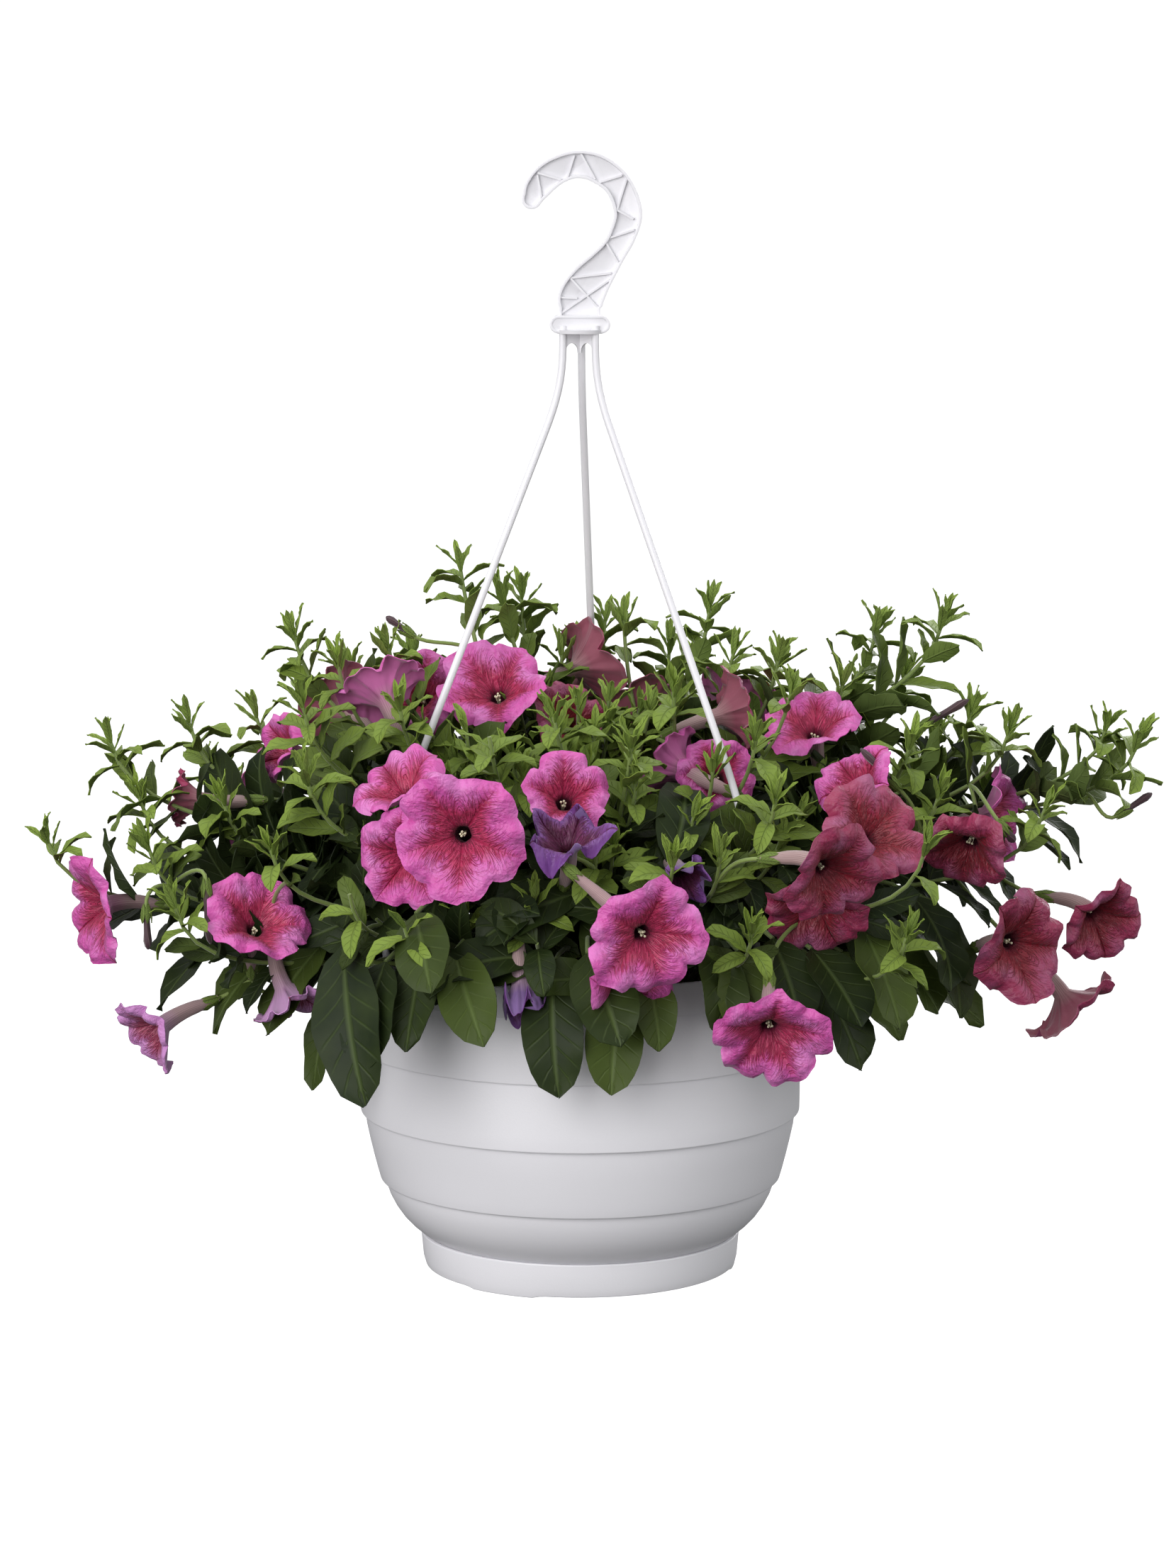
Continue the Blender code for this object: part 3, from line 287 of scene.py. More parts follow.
def moulded_plastic():
    """White polypropylene: satin, with a very fine mould grain and faint flow marks."""
    base = tuple(bpy.context.scene.basket_pot.plastic)
    made = Finish("white moulded plastic", 0.34, tinted(base, 0.975), Coat_Weight=0.15,
                  Coat_Roughness=0.25)
    made.lay(made.speckle(9.0, 3.0).band(0.3, 0.7), base)
    made.feed(Roughness=made.speckle(60.0).band(0.0, 1.0, 0.30, 0.42))
    return made.done(made.speckle(900.0, 1.0), 0.00004)


def potting_mix():
    """Dark peat with bark fibres and a few pale grains."""
    made = Finish("potting mix", 0.95, (0.012, 0.008, 0.005))
    coarse = made.speckle(140.0, 4.0)
    grains = put(made.tree, "TexVoronoi", {
        "Vector": put(made.tree, "TexCoord").outputs["Object"], "Scale": 260.0})
    made.lay(coarse.band(0.35, 0.7), (0.07, 0.042, 0.025))
    made.lay(Field(grains.outputs["Distance"]).band(0.16, 0.08), (0.30, 0.27, 0.22))
    return made.done(coarse, 0.002)


def feathered(made, out, rib, drift, count, width):
    """Irregular fine veins that leave each rib at a sharp angle and run out to the edge."""
    across, along = (rib * -0.8 + out) * count, (rib * 0.8 + out) * (count * 0.13)
    where = put(made.tree, "CombineXYZ", {0: across, 1: along, 2: drift}).outputs[0]
    return abs(made.speckle(1.0, 1.5, where) - 0.5).band(width, width * 0.2)


def petal_face(kind, base):
    """The inside of the trumpet: crimson ribs, a red star round them, feathered veins, throat, and
    painted highlights: pale lilac patches that stand for the shine of the crinkled petals.
    """
    made = Finish(kind + " petal", 0.46, base, Specular_IOR_Level=0.4, Sheen_Weight=0.05,
                  Sheen_Roughness=0.4)
    out, rib, disc = made.stored("out"), made.stored("rib"), made.map("disc")
    cloud, patch, fine, crease = (made.speckle(scale, detail, disc) for scale, detail in (
        (4.5, 3.0), (3.2, 2.0), (34.0, 2.0), (13.0, 3.0)))
    drift = made.across(disc)[0] * 4.0
    main = (cloud * 0.016 + rib * (out + 0.12)).band(0.046, 0.016)
    coarse = feathered(made, out, rib, drift, 11.0, 0.062) * (rib * 0.25 + out).band(1.05, 0.55)
    thin = feathered(made, out, rib, drift, 25.0, 0.055) * out.band(0.95, 0.40)
    veins = coarse.larger(thin * 0.6) * patch.band(0.22, 0.46)
    blush = (cloud * 0.22 + out * (rib * 0.9 + 1.0)).band(1.0, 0.52)
    # light is the mask of the painted highlights: pale lilac patches between the ribs at mid
    # radius that stand for the satin shine of the crinkled petals
    light = patch.band(0.44, 0.64) * out.band(0.25, 0.60) * rib.band(0.0, 0.5)
    throat = (cloud * 0.05 + out).band(0.10, -0.08)
    pale = tuple(0.60 * channel + base[0] * 0.70 * part
                 for channel, part in zip(base, (0.78, 0.46, 0.86)))
    line = (base[0] * 0.52, base[1] * 0.09, base[2] * 0.14)
    # painted highlight laid in pale lilac, then a fine speckle of the same pale colour over the
    # whole face
    made.lay(light * 0.62, pale)
    made.lay(fine.band(0.45, 0.8) * 0.20, pale)
    made.lay(blush * 0.80, (base[0] * 0.74, base[1] * 0.26, base[2] * 0.13))
    made.lay(veins * 0.94, line)
    made.lay(main * 0.94, line)
    made.lay(throat, (0.085, 0.010, 0.028))
    return made.done(coarse.larger(main) * -0.35 + (crease * 1.6 + fine * 0.25), 0.0013)


def petal_back(kind, base):
    """The outside: dusty and paler, with purple-brown lines up the tube."""
    dusty = (base[0] * 0.90 + 0.02, base[1] * 1.05 + 0.035, base[2] * 0.90 + 0.03)
    made = Finish(kind + " petal back", 0.7, tinted(dusty, 0.86), Sheen_Weight=0.25,
                  Sheen_Roughness=0.5)
    out, rib = made.stored("out"), made.stored("rib")
    cloud = made.speckle(6.0, 3.0, made.map("disc"))
    turn = made.across(made.map("UVMap"))[0]
    lines = (turn * 25.0 + 0.5).stripe(0.16) * out.band(0.30, -0.1)
    main = (rib * (out + 0.1)).band(0.04, 0.01) * out.band(0.0, 0.1)
    made.lay(cloud.band(0.3, 0.7), dusty)
    made.lay(out.band(0.25, -0.25), (0.36, 0.25, 0.24))
    made.lay((lines * 0.75).larger(main * 0.6),
             (base[0] * 0.34, base[1] * 0.20 + 0.01, base[2] * 0.30))
    return made.done(cloud, 0.0008)


def leaf_face(name, under=False):
    """A petunia leaf: pale midrib and side veins, young yellow green to mature dark green; the
    dark green is also painted shade on the leaves low in the crown.
    """
    looks = bpy.context.scene.basket_leaves
    young, mature = tuple(looks.young), tuple(looks.mature)
    made = Finish(name, 0.65 if under else 0.50, young, Specular_IOR_Level=0.17)
    age, cloud = made.stored("age"), made.speckle(45.0, 3.0)
    aside, along = made.across(made.map("UVMap"))
    aside = abs(aside - 0.5) * 2.0
    side = (along * 7.0 - aside.maths("POWER", 0.8) * 1.5).stripe(0.10) * aside.band(1.0, 0.55)
    veins = aside.band(0.13, 0.02).larger(side * 0.55)
    middle = tuple(0.45 * a + 0.55 * b for a, b in zip(young, mature))
    # the age number carries painted shade as well as age: low in the crown it gives the dark
    # mature green
    made.lay(age.band(0.0, 0.5), middle)
    made.lay(age.band(0.5, 0.9), mature)
    made.lay(cloud.band(0.35, 0.75) * 0.16, tinted(middle, 0.8))
    if under:
        made.lay(0.35, (0.13, 0.19, 0.065))
    made.lay(veins * age.band(0.0, 1.0, 0.40, 0.22), (0.17, 0.24, 0.07))
    return made.done(cloud * 0.5 + veins * (1.0 if under else -1.0), 0.0005)


def green_stem():
    """Soft hairy stem, pale green."""
    made = Finish("green stem", 0.6, (0.22, 0.31, 0.065), Sheen_Weight=0.4, Sheen_Roughness=0.4)
    made.lay(made.stored("age").band(0.0, 1.0), (0.085, 0.14, 0.032))
    made.lay(made.speckle(120.0) * 0.4, (0.20, 0.22, 0.07))
    return made.done(made.speckle(1500.0, 1.0), 0.0002)


def bud_skin():
    """Rolled-up petals of a bud: dark purple brown with paler seams."""
    made = Finish("bud skin", 0.6, (0.16, 0.20, 0.06), Sheen_Weight=0.3)
    turn, along = made.across(made.map("UVMap"))
    seam = (along * 1.2 + turn * 5.0).stripe(0.2)
    made.lay(along.band(0.0, 0.35), (0.050, 0.018, 0.028))
    made.lay(seam * 0.35, (0.22, 0.13, 0.12))
    return made.done(seam, 0.0004)


def pollen():
    """Cream dust on the anthers."""
    made = Finish("anther cream", 0.8, (0.55, 0.50, 0.30))
    made.lay(made.speckle(2500.0), (0.80, 0.78, 0.60))
    return made.done()


FINISHES = {}


def dressed(name):
    """The shared finish of that name, made the first time it is asked for."""
    if name not in FINISHES:
        makers = {"plastic": moulded_plastic, "soil": potting_mix, "stem": green_stem,
                  "bud": bud_skin, "pollen": pollen,
                  "leaf": lambda: leaf_face("leaf upper side"),
                  "leaf under": lambda: leaf_face("leaf under side", under=True)}
        for kind in SLOTS:
            base = tuple(getattr(bpy.context.scene.basket_flowers, kind))
            makers[kind] = lambda kind=kind, base=base: petal_face(kind, base)
            makers[kind + " back"] = lambda kind=kind, base=base: petal_back(kind, base)
        FINISHES[name] = makers[name]()
    return FINISHES[name]


# ---- shaping ----
def new_piece(name, bm, finishes, replaces=(), angle=40.0):
    """Turns a finished bmesh into a piece that rides on the basket."""
    mesh = bpy.data.meshes.new(name)
    bm.to_mesh(mesh)
    bm.free()
    for item in finishes:
        mesh.materials.append(dressed(item))
    mesh.shade_smooth()
    mesh.set_sharp_from_angle(angle=math.radians(angle))
    piece = bpy.data.objects.new(name, mesh)
    bpy.context.scene.collection.objects.link(piece)
    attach(piece, BODY)
    if replaces:
        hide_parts(*replaces)
    return piece


def bezier(start, lift, reach, end, count):
    """A curve from start to end as count + 1 points, drawn towards lift and then reach."""
    points = []
    for index in range(count + 1):
        t = index / count
        points.append(start * (1 - t) ** 3 + lift * 3 * t * (1 - t) ** 2
                      + reach * 3 * t * t * (1 - t) + end * t ** 3)
    return points


def frames_along(points, first=None):
    """Turns for a section carried along a path without twisting."""
    tangents = []
    for index in range(len(points)):
        before, after = points[max(index - 1, 0)], points[min(index + 1, len(points) - 1)]
        tangents.append((after - before).normalized())
    turns = [first or tangents[0].to_track_quat("Z", "Y")]
    for before, after in zip(tangents, tangents[1:]):
        turns.append(before.rotation_difference(after) @ turns[-1])
    return turns


def rolled(bm, around, along, place, cover=0):
    """A sheet of quads rolled into a tube; place(turn, length, corner) gives each point."""
    sheet = bmesh.ops.create_grid(bm, x_segments=around, y_segments=along, size=1.0,
                                  calc_uvs=True)["verts"]
    for corner in sheet:
        corner.co = place((corner.co.x + 1) / 2, (corner.co.y + 1) / 2, corner)
        for face in corner.link_faces:
            face.material_index = cover
    bmesh.ops.remove_doubles(bm, verts=sheet, dist=WELD)


def thicken(bm, faces, thickness):
    """Gives a sheet its thickness; the new side behind it takes the second finish."""
    corners = {corner for face in faces for corner in face.verts}
    nearest = KDTree(len(corners))
    for index, corner in enumerate(corners):
        nearest.insert(corner.co, index)
    nearest.balance()
    for item in bmesh.ops.solidify(bm, geom=faces, thickness=thickness)["geom"]:
        if isinstance(item, bmesh.types.BMFace):
            item.material_index = 1
        elif isinstance(item, bmesh.types.BMVert):
            foot, _, away = nearest.find(item.co)
            if away > thickness * 1.5:
                item.co = foot.lerp(item.co, thickness / away)


def rod(bm, points, radii, sides, age=None, level=0.5, cover=0):
    """A round rod with closed ends along points."""
    turns = frames_along(points)
    rows = [(points[0], turns[0], 0.0)] + list(zip(points, turns, radii))
    rows.append((points[-1], turns[-1], 0.0))

    def place(turn, share, corner):
        point, frame_turn, radius = rows[round(share * (len(rows) - 1))]
        if age is not None:
            corner[age] = level
        return point + frame_turn @ ring(turn * math.tau) * radius

    rolled(bm, sides, len(rows) - 1, place, cover)


def lathe(profile, steps):
    """A closed outline of (radius, height) millimetres spun about the vertical axis."""
    bm = bmesh.new()
    corners = [bm.verts.new(at(radius, 0.0, height)) for radius, height in profile]
    edges = [bm.edges.new(pair) for pair in zip(corners, corners[1:])]
    if profile[0][0] > 0.0:
        edges.append(bm.edges.new((corners[-1], corners[0])))
    bmesh.ops.spin(bm, geom=corners + edges, cent=(0, 0, 0), axis=(0, 0, 1),
                   angle=math.tau, steps=steps, use_merge=True)
    bmesh.ops.remove_doubles(bm, verts=bm.verts, dist=WELD)
    bmesh.ops.recalc_face_normals(bm, faces=bm.faces)
    return bm


def rounded(rows):
    """The points of an outline of (radius, height, rounding), each rounded corner a short arc."""
    points = []
    corners = [Vector(row[:2]) for row in rows]
    for index, here in enumerate(corners):
        into, away = corners[index - 1] - here, corners[(index + 1) % len(rows)] - here
        if not rows[index][2]:
            points.append(tuple(here))
            continue
        reach = min(rows[index][2], into.length * 0.45, away.length * 0.45)
        first, last = here + into.normalized() * reach, here + away.normalized() * reach
        for t in (0.0, 0.25, 0.5, 0.75, 1.0):
            points.append(tuple(first * (1 - t) ** 2 + here * 2 * t * (1 - t) + last * t * t))
    return points


def block(bm, size, middle, turn=0.0, axis="Z"):
    """A box of the given millimetres turned about its own middle, then moved to its place."""
    made = bmesh.ops.create_cube(bm, size=1.0)["verts"]
    bmesh.ops.scale(bm, vec=[side * MM for side in size], verts=made)
    bmesh.ops.rotate(bm, cent=(0, 0, 0), verts=made, matrix=Matrix.Rotation(turn, 3, axis))
    bmesh.ops.translate(bm, vec=middle, verts=made)


def round_block(bm, low, high, depth, middle, segments):
    """A short round solid: its radius below and above, and its height, in millimetres."""
    bmesh.ops.create_cone(bm, cap_ends=True, segments=segments, depth=depth * MM,
                          radius1=low * MM, radius2=high * MM,
                          matrix=Matrix.Translation(middle))


def slab(bm, outline, depth):
    """An upright slab in the XZ plane, centred front to back; gives all its corners."""
    corners = [bm.verts.new(Vector((x, -depth / 2, z)) * MM) for x, z in outline]
    face = bm.faces.new(corners)
    lifted = bmesh.ops.extrude_face_region(bm, geom=[face], use_keep_orig=True)
    back = [item for item in lifted["geom"] if isinstance(item, bmesh.types.BMVert)]
    bmesh.ops.translate(bm, vec=(0, depth * MM, 0), verts=back)
    return corners + back


# ---- pot, saucer, soil ----
# the bowl's outside from the floor up: (radius, height, rounding); each band ends in a lip
# that hangs a little over the band below it
BOWL_OUTSIDE = ((62.0, 11.0, 3), (74.0, 13.5, 0), (84.0, 18.8, 0), (88.5, 21.8, 0),
                (93.0, 25.6, 0), (97.4, 30.2, 0), (101.2, 35.6, 0), (104.2, 41.4, 0),
                (106.4, 47.6, 0), (106.7, 49.9, 0), (109.2, 49.7, 0.8), (111.0, 56.0, 0),
                (112.8, 63.0, 0), (114.8, 71.5, 0), (116.6, 80.0, 0), (117.4, 87.4, 0),
                (119.8, 87.0, 0.8), (120.0, 95.0, 0), (120.0, 110.0, 0), (119.9, 123.9, 0),
                (122.3, 123.3, 0.7), (122.3, 140.0, 0), (122.4, 158.9, 0), (124.6, 158.4, 0.8),
                (125.0, 161.0, 0), (125.0, 175.9, 1.6), (121.6, 175.9, 1.2))
BOWL_INSIDE = ((119.6, 173.0, 0), (118.0, 124.0, 0), (117.6, 89.0, 0), (112.6, 68.0, 0),
               (106.4, 51.0, 0), (101.0, 39.0, 0), (94.0, 29.6, 0), (84.0, 21.6, 0),
               (72.0, 16.4, 0), (62.0, 13.2, 0))
SAUCER_OUTLINE = ((84.6, 0.0, 0.8), (86.0, 6.0, 0), (87.2, 19.4, 0.7), (84.9, 19.6, 0.7),
                  (83.2, 5.0, 1.2), (70.0, 3.0, 0), (61.0, 3.0, 0), (59.0, 10.7, 0),
                  (55.0, 10.7, 0), (53.0, 3.0, 0))
SMOOTH_UNDER = 32.0
ARM_ANGLES = [math.radians(angle) for angle in (85.0, 205.0, 325.0)]
ARM_END = 114.0
EAR_START, EAR_END, EAR_TOP, EAR_WIDTH, EAR_THICK = 107.0, RIM_RADIUS - 4.0, 174.0, 13.0, 3.0
DRAIN_HOLES, DRAIN_CIRCLE, DRAIN_RADIUS, DRAIN_HEIGHT = 6, 44.0, 4.5, 12.0
# the saucer's foot is lifted in three shallow arches between short feet
ARCH_TURN, ARCH_HALF_WIDTH, ARCH_EASE, ARCH_LIFT = 120.0, 44.0, 3.0, 1.1
FOOT_INSIDE, FOOT_OUTSIDE, FOOT_HEIGHT = 40.0, 80.0, 1.2
SOIL_TOP = 160.0
SOIL_GAP = 0.8
SOIL_RINGS, SOIL_SECTORS = 34, 110
# lumps of the potting mix: noise scale, height
SOIL_LUMPS = ((90, 2.2), (300, 1.5))


def cut_through(piece, cutter):
    """Drills a piece with the solids of a cutter mesh."""
    mesh = bpy.data.meshes.new("drill")
    cutter.to_mesh(mesh)
    cutter.free()
    drill = bpy.data.objects.new("drill", mesh)
    bpy.context.scene.collection.objects.link(drill)
    step = piece.modifiers.new("holes", "BOOLEAN")
    step.operation = "DIFFERENCE"
    step.object = drill
    graph = bpy.context.evaluated_depsgraph_get()
    done = bpy.data.meshes.new_from_object(piece.evaluated_get(graph))
    piece.modifiers.clear()
    piece.data = done
    bpy.data.objects.remove(drill, do_unlink=True)


class BASKET_OT_pot(bpy.types.Operator):
    """Spin the banded bowl, add the three ears inside its rim and drill its floor"""

    bl_idname = "basket.pot"
    bl_label = "Pot"

    def execute(self, context):
        outline = [(0.0, BOWL_OUTSIDE[0][1])] + rounded(BOWL_OUTSIDE + BOWL_INSIDE)
        outline.append((0.0, BOWL_INSIDE[-1][1]))
        bm = lathe(outline, context.scene.basket_pot.facets)
        piece = new_piece("banded_pot", bm, ["plastic"], ["pot"],
                          angle=SMOOTH_UNDER)
        holes = bmesh.new()
        for number in range(DRAIN_HOLES):
            turn = math.tau * (number + 0.5) / DRAIN_HOLES
            place = round_at(turn, DRAIN_CIRCLE, DRAIN_HEIGHT)
            round_block(holes, DRAIN_RADIUS, DRAIN_RADIUS, DRAIN_HEIGHT, place, 24)
        cut_through(piece, holes)
        ears = bmesh.new()
        ears.from_mesh(piece.data)
        reach = EAR_END - EAR_START
        for turn in ARM_ANGLES:
            middle = round_at(turn, EAR_START + reach / 2, EAR_TOP - EAR_THICK / 2)
            block(ears, (reach, EAR_WIDTH, EAR_THICK), middle, turn)
        ears.to_mesh(piece.data)
        ears.free()
        return {"FINISHED"}


class BASKET_OT_saucer(bpy.types.Operator):
    """Spin the saucer that clips under the bowl and cut the shallow arches of its foot"""

    bl_idname = "basket.saucer"
    bl_label = "Saucer"

    def execute(self, context):
        outline = [(0.0, 0.0)] + rounded(SAUCER_OUTLINE) + [(0.0, SAUCER_OUTLINE[-1][1])]
        bm = lathe(outline, context.scene.basket_pot.facets)
        for corner in bm.verts:
            radius = math.hypot(corner.co.x, corner.co.y) / MM
            if corner.co.z < at(0, 0, FOOT_HEIGHT).z and radius > FOOT_INSIDE:
                turn = math.degrees(math.atan2(corner.co.y, corner.co.x)) % ARCH_TURN
                foot = smooth(abs(turn - ARCH_TURN / 2), ARCH_HALF_WIDTH,
                              ARCH_HALF_WIDTH + ARCH_EASE)
                corner.co.z += ARCH_LIFT * MM * (1.0 - foot) * smooth(radius, FOOT_INSIDE,
                                                                      FOOT_OUTSIDE)
        new_piece("clip_saucer", bm, ["plastic"], ["saucer"],
                  angle=SMOOTH_UNDER)
        return {"FINISHED"}


class BASKET_OT_soil(bpy.types.Operator):
    """Fill the bowl with crumbly potting mix"""

    bl_idname = "basket.soil"
    bl_label = "Potting mix"

    def execute(self, context):
        inner = [(row[0] - SOIL_GAP, row[1] + SOIL_GAP) for row in BOWL_INSIDE[1:]]
        wall = [(inner[0][0], SOIL_TOP)] + inner + [(0.0, inner[-1][1])]
        rows = SOIL_RINGS + len(wall) - 1

        def place(turn, share, _):
            index = round(share * rows)
            if index < SOIL_RINGS:
                radius, height = wall[0][0] * index / SOIL_RINGS, SOIL_TOP
            else:
                radius, height = wall[index - SOIL_RINGS]
            point = round_at(turn * math.tau, radius, height)
            if index <= SOIL_RINGS:
                lumps = sum(noise.noise(point * scale) * high for scale, high in SOIL_LUMPS)
                point.z += (lumps - 1.0) * MM
            return point

        bm = bmesh.new()
        rolled(bm, SOIL_SECTORS, rows, place)
        bmesh.ops.recalc_face_normals(bm, faces=bm.faces)
        new_piece("potting_mix", bm, ["soil"], ["soil"], angle=80.0)
        return {"FINISHED"}


# ---- hanger ----
# middle line of the hook from its tip over the crown and down the neck to the boss:
# (right, up from the crown, half width)
HOOK_LINE = ((-25.7, -11.0, 5.4), (-23.0, -5.8, 6.9), (-17.9, 0.1, 7.5), (-11.0, 4.6, 7.3),
             (-1.4, 7.2, 7.2), (9.6, 4.9, 7.5), (20.3, -3.6, 7.3), (25.7, -18.0, 7.5),
             (22.4, -30.5, 7.2), (18.1, -38.1, 7.1), (11.9, -46.4, 8.8), (5.2, -55.0, 11.0),
             (0.4, -63.6, 12.2), (-0.2, -69.0, 11.0), (0.0, -77.5, 11.6))
HOOK_RIBS = (((-22.6, 1.5), (-20.5, -10.0)), ((-22.5, 2.8), (-10.0, -0.9)),
             ((-3.0, 11.9), (-6.6, 0.6)), ((0.5, 13.0), (8.0, -0.6)),
             ((9.8, -2.4), (22.4, 1.4)), ((24.6, -1.0), (19.6, -17.0)),
             ((19.6, -16.8), (28.6, -21.6)), ((14.9, -31.8), (29.0, -27.2)),
             ((13.8, -34.0), (20.9, -45.6)), ((-5.4, -52.7), (16.6, -50.2)),
             ((-5.2, -52.7), (10.0, -69.0)), ((-10.2, -71.4), (16.0, -53.6)),
             ((-11.0, -63.0), (-1.4, -63.4)))
HOOK_STATIONS = 84
WEB_SINK, BORDER_SLOPE, EDGE_SOFT = 2.3, 0.25, 0.4
RIB_THICK, RIB_DEPTH, RIB_STEP = 1.0, 5.4, 0.05
BOSS_HALF_WIDTH, BOSS_TOP, BOSS_HEIGHT, BOSS_DEPTH = 16.2, -72.5, 9.5, 11.0
BOSS_BORDER, BOSS_SINK = 1.5, 0.7
ARM_START, ARM_TOP, ARM_BEND_TOP, ARM_BEND_FOOT = 10.0, -82.0, 53.0, 125.0
ARM_INSIDE, ARM_PAST_EAR, ARM_STEPS, ARM_SIDES, SLOPE_STEPS = 4.0, 0.6, 60, 14, 160
# the clip under an arm: (drop below the arm, radius)
CLIP = ((0.2, 3.4), (1.8, 3.6), (3.2, 2.9), (6.7, 1.2))
WEB_TOP, GATE_FOOT, WEB_THICK, ARCH_RISE = -80.0, -92.5, 1.6, 4.4
WEB_HUB, WEB_POST, ARCH_FOOT = 1.2, 1.4, 0.8
# radius below, radius above and height of the ring under the boss and of the button over an
# ear, and how far the middle of each stands over the boss's foot or the ear
BOSS_RING, BOSS_RING_LIFT = (12.2, 12.6, 2.0), 0.8
BUTTON, BUTTON_LIFT = (3.6, 2.2, 3.0), 1.8


def through(stations, count):
    """count + 1 rows read from a smooth curve through the given rows."""
    rows = []
    last = len(stations) - 1
    for index in range(count + 1):
        place = index / count * last
        cell = min(int(place), last - 1)
        t = place - cell
        a, d = stations[max(cell - 1, 0)], stations[min(cell + 2, last)]
        b, c = stations[cell], stations[cell + 1]
        rows.append(tuple(
            0.5 * (2 * q + (r - p) * t + (2 * p - 5 * q + 4 * r - s) * t * t
                   + (3 * q - p - 3 * r + s) * t ** 3) for p, q, r, s in zip(a, b, c, d)))
    return rows


def hook_outline():
    """The hook's edge as (right, up) points: along one side, round the tip and back."""
    line = through(HOOK_LINE, HOOK_STATIONS)
    left, right = [], []
    for index, (x, z, half) in enumerate(line):
        ahead, behind = line[min(index + 1, HOOK_STATIONS)], line[max(index - 1, 0)]
        along = Vector((ahead[0] - behind[0], ahead[1] - behind[1])).normalized()
        side = Vector((-along.y, along.x)) * half
        left.append(Vector((x, z)) + side)
        right.append(Vector((x, z)) - side)
    x, z, half = line[0]
    away = Vector((x - line[1][0], z - line[1][1])).normalized()
    across = (left[0] - Vector((x, z))).normalized()
    tip = [Vector((x, z)) + half * (math.cos(math.radians(turn)) * -across
                                    + math.sin(math.radians(turn)) * away)
           for turn in range(12, 180, 12)]
    return onward(right, line)[::-1] + tip + onward(left, line)


def onward(side, line):
    """The points of one side that move on along the hook, without the curls of a tight bend."""
    kept = [side[0]]
    for point, (x, z, _), (next_x, next_z, _) in zip(side[1:], line, line[1:]):
        if (point - kept[-1]).dot(Vector((next_x - x, next_z - z)).normalized()) > 0.3:
            kept.append(point)
    return kept


def plate(outline, depth, border, sink):
    """An upright plate in the XZ plane with a raised border round a sunken web on both faces."""
    bm = bmesh.new()
    slab(bm, outline, depth)
    bmesh.ops.recalc_face_normals(bm, faces=bm.faces)
    for side in [face for face in bm.faces if len(face.verts) > 8]:
        inward = sink * MM * (1 if side.calc_center_median().y < 0 else -1)
        bmesh.ops.inset_region(bm, faces=[side], thickness=border * MM, depth=0.0,
                               use_even_offset=True)
        bmesh.ops.inset_region(bm, faces=[side], thickness=BORDER_SLOPE * MM, depth=0.0)
        bmesh.ops.translate(bm, vec=(0, inward, 0), verts=side.verts)
    sharp = [edge for edge in bm.edges
             if edge.is_manifold and edge.calc_face_angle() > math.radians(50)]
    bmesh.ops.bevel(bm, geom=sharp, offset=EDGE_SOFT * MM, segments=2, profile=0.5,
                    affect="EDGES", material=-1, clamp_overlap=True)
    return bm


def pill_outline(half_width, height, middle):
    """The outline of a bar with round ends, as (right, up) points about a middle height."""
    half = height / 2
    points = []
    for side in (1, -1):
        points += [(side * (half_width - half + end.x), middle + side * end.y)
                   for end in arc(-90, 90, 24, half)]
    return points


def arm_reach(drop):
    """Distance of an arm from the axis at a drop below its start: out, straight, then down."""
    whole = ARM_TOP - SAUCER_LOW.z / MM - RIM_TOP
    slopes = []
    for step in range(SLOPE_STEPS + 1):
        depth = whole * step / SLOPE_STEPS
        slopes.append(smooth(depth, 0.0, ARM_BEND_TOP) * smooth(whole - depth, 0.0,
                                                                ARM_BEND_FOOT))
    wanted = min(max(drop, 0.0) / whole, 1.0) * SLOPE_STEPS
    done = int(wanted)
    reached = sum(slopes[:done]) + slopes[done] * (wanted - done)
    return ARM_START + (ARM_END - ARM_START) * reached / sum(slopes)


def arm_points(turn):
    """The middle line of an arm from inside the boss to just under its ear."""
    foot = ARM_TOP - SAUCER_LOW.z / MM - EAR_TOP + EAR_THICK + ARM_PAST_EAR + ARM_INSIDE
    drops = [foot * index / ARM_STEPS - ARM_INSIDE for index in range(ARM_STEPS + 1)]
    return [(ring(turn, arm_reach(drop)) + UP * (ARM_TOP - drop)) * MM for drop in drops]


def arch_web(bm, turn):
    """The thin web under the boss from the middle to one arm, its lower edge an arch."""
    inner, outer = WEB_HUB, ARM_START - WEB_POST
    outline = [(0.0, WEB_TOP), (ARM_START, WEB_TOP), (ARM_START, GATE_FOOT), (outer, GATE_FOOT)]
    outline += [(inner + (outer - inner) * 0.5 * (1 + curve.x),
                 GATE_FOOT + ARCH_FOOT + ARCH_RISE * curve.y) for curve in arc(0, 180, 18)]
    outline += [(inner, GATE_FOOT), (0.0, GATE_FOOT)]
    bmesh.ops.rotate(bm, cent=(0, 0, 0), verts=slab(bm, outline, WEB_THICK),
                     matrix=Matrix.Rotation(turn, 3, "Z"))


